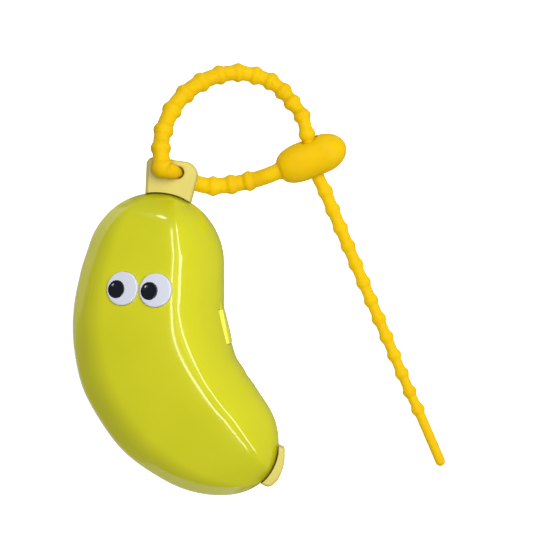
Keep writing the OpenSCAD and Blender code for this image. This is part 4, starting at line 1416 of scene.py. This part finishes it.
# %% [markdown]
# ## Lights
# A large soft light overhead does most of the work. It isn't seen in the gloss, so that the thin
# highlights stay clear. An area light looks equally bright at any size when its power is its
# radiance times pi times its area. The strips and the cards are given by their radiance.
# %% Overhead light
def area_light(name, place, turned, size, power):
    data = bpy.data.lights.new(name, "AREA")
    data.shape = "RECTANGLE"
    data.size, data.size_y = size
    data.energy = power
    light = bpy.data.objects.new(name, data)
    light.location = place
    light.rotation_euler = turned
    collection.objects.link(light)
    return light


def aimed(place, aim):
    return (Vector(aim) - Vector(place)).to_track_quat("-Z", "Y").to_euler()


def power_for(radiance, size):
    return radiance * math.pi * size[0] * size[1]


overhead_at = (0.4, 0.3, 1.68)
overhead = area_light("overhead", overhead_at, aimed(overhead_at, (0, 0, 0)), (1.4, 1.4), 38)
overhead.visible_glossy = False

# %% [markdown]
# ### Strips for the thin highlights
# Two thin bright lines follow the ridge in the photograph, and a dash lies by the stem. Each is the
# reflection of a long narrow light. Its route was found backwards: from the camera to a point of
# the line, and on by the law of reflection. A chain of short lights follows the route, and every
# one is turned to the case.
# %% Strip lights
def strip_chain(name, corners, width, radiance, runs=3):
    places = [Vector(place) for place in smooth_curve(np.array(corners), runs)]
    for k, (start, end) in enumerate(zip(places, places[1:])):
        along = end - start
        middle = (start + end) / 2
        facing = middle - along * (middle.dot(along) / along.length_squared)
        axes = [along.cross(facing).normalized(), along.normalized(), facing.normalized()]
        turned, size = Matrix(axes).transposed().to_euler(), (width, along.length)
        light = area_light(f"{name}_{k}", middle, turned, size, power_for(radiance, size))
        light.visible_diffuse = False
    print(name, "lights:", len(places) - 1)


strip_chain("strip_left", [
    (-0.44, 0.98, 0.73), (-0.46, 0.55, 1.08), (-0.36, 0.3, 1.21), (-0.49, 0.1, 1.2),
    (-0.56, -0.15, 1.16), (-0.45, -0.37, 1.16), (-0.22, -0.56, 1.14), (0.0, -0.66, 1.1),
    (0.14, -0.87, 0.96), (0.38, -1.01, 0.72),
], width=0.12, radiance=10)
strip_chain("strip_right", [
    (0.0, 1.12, 0.66), (0.36, 0.66, 1.06), (0.7, 0.33, 1.02), (0.9, 0.2, 0.91),
    (0.97, 0.05, 0.86), (0.97, -0.2, 0.84), (0.99, -0.43, 0.72), (1.05, -0.61, 0.46),
], width=0.14, radiance=14)
strip_chain("strip_dash", [(-0.54, 1.13, 0.31), (-0.52, 1.11, 0.41)], 0.05, 20, runs=1)

# %% [markdown]
# ### Cards on the floor
# The steep left side of the lid mirrors a pale band that lies beside the case, so a card there is
# seen in the gloss alone. A second card on the right throws light up against the steep right
# sides, and isn't seen in the gloss.
# %% Cards
card_radiance, card_lift = 0.95, 0.1 * MM
card_turn = (math.pi, 0, math.radians(23))


def floor_card(name, x, y, size):
    power = power_for(card_radiance, size)
    card = area_light(name, (x, y, card_lift), card_turn, size, power)
    card.visible_camera = False
    return card


left_card = floor_card("left_card", -0.0515, -0.0219, (0.112, 0.3))
left_card.visible_diffuse = False
right_card = floor_card("right_card", 0.227, 0.078, (0.5, 0.6))
right_card.visible_glossy = False

# %% [markdown]
# ### Glints in the pupils
# Each pupil shows one small bright dot, up and to the left. By the law of reflection a lamp can
# stand where only that spot of the dome mirrors it to the camera. Light linking keeps each lamp to
# its own pupil.
# %% Eye glints
glint_across, glint_up = -1.27 * MM, 1.6 * MM
glint_away, glint_size, glint_power = 0.6, (0.02, 0.02), 0.035


def eye_glint(hand, stand):
    flat = math.sqrt(1 - (glint_across**2 + glint_up**2) / pupil_r**2)
    slope = (pupil_rise - pupil_step) / pupil_r**2 / flat
    spot = stand @ pupil_look @ Vector((glint_across, glint_up, eye_top + pupil_rise))
    normal = stand.to_3x3() @ Vector((glint_across * slope, glint_up * slope, 1))
    normal.normalize()
    to_camera = (camera.location - spot).normalized()
    place = spot + glint_away * (2 * normal.dot(to_camera) * normal - to_camera)
    lamp = area_light(f"{hand}_glint", place, aimed(place, spot), glint_size, glint_power)
    lamp.visible_diffuse = False
    reach = bpy.data.collections.new(f"{hand}_glint_reach")
    reach.objects.link(bpy.data.objects[f"{hand}_pupil_dome"])
    lamp.light_linking.receiver_collection = reach


eye_glint("left", left_eye)
eye_glint("right", right_eye)
print("lights:", len(bpy.data.lights))

# %% [markdown]
# ### Sky and tones
# A weak, slightly cool sky fills the shadows. The plain view transform keeps the colours as they
# were mixed.
# %% World
scene = bpy.context.scene
scene.view_settings.view_transform = "Standard"
scene.world = scene.world or bpy.data.worlds.new("world")
scene.world.use_nodes = True
sky = scene.world.node_tree.nodes["Background"]
feed(sky, {"Color": (0.97, 0.98, 1.0, 1), "Strength": 0.2})
print("view transform:", scene.view_settings.view_transform)
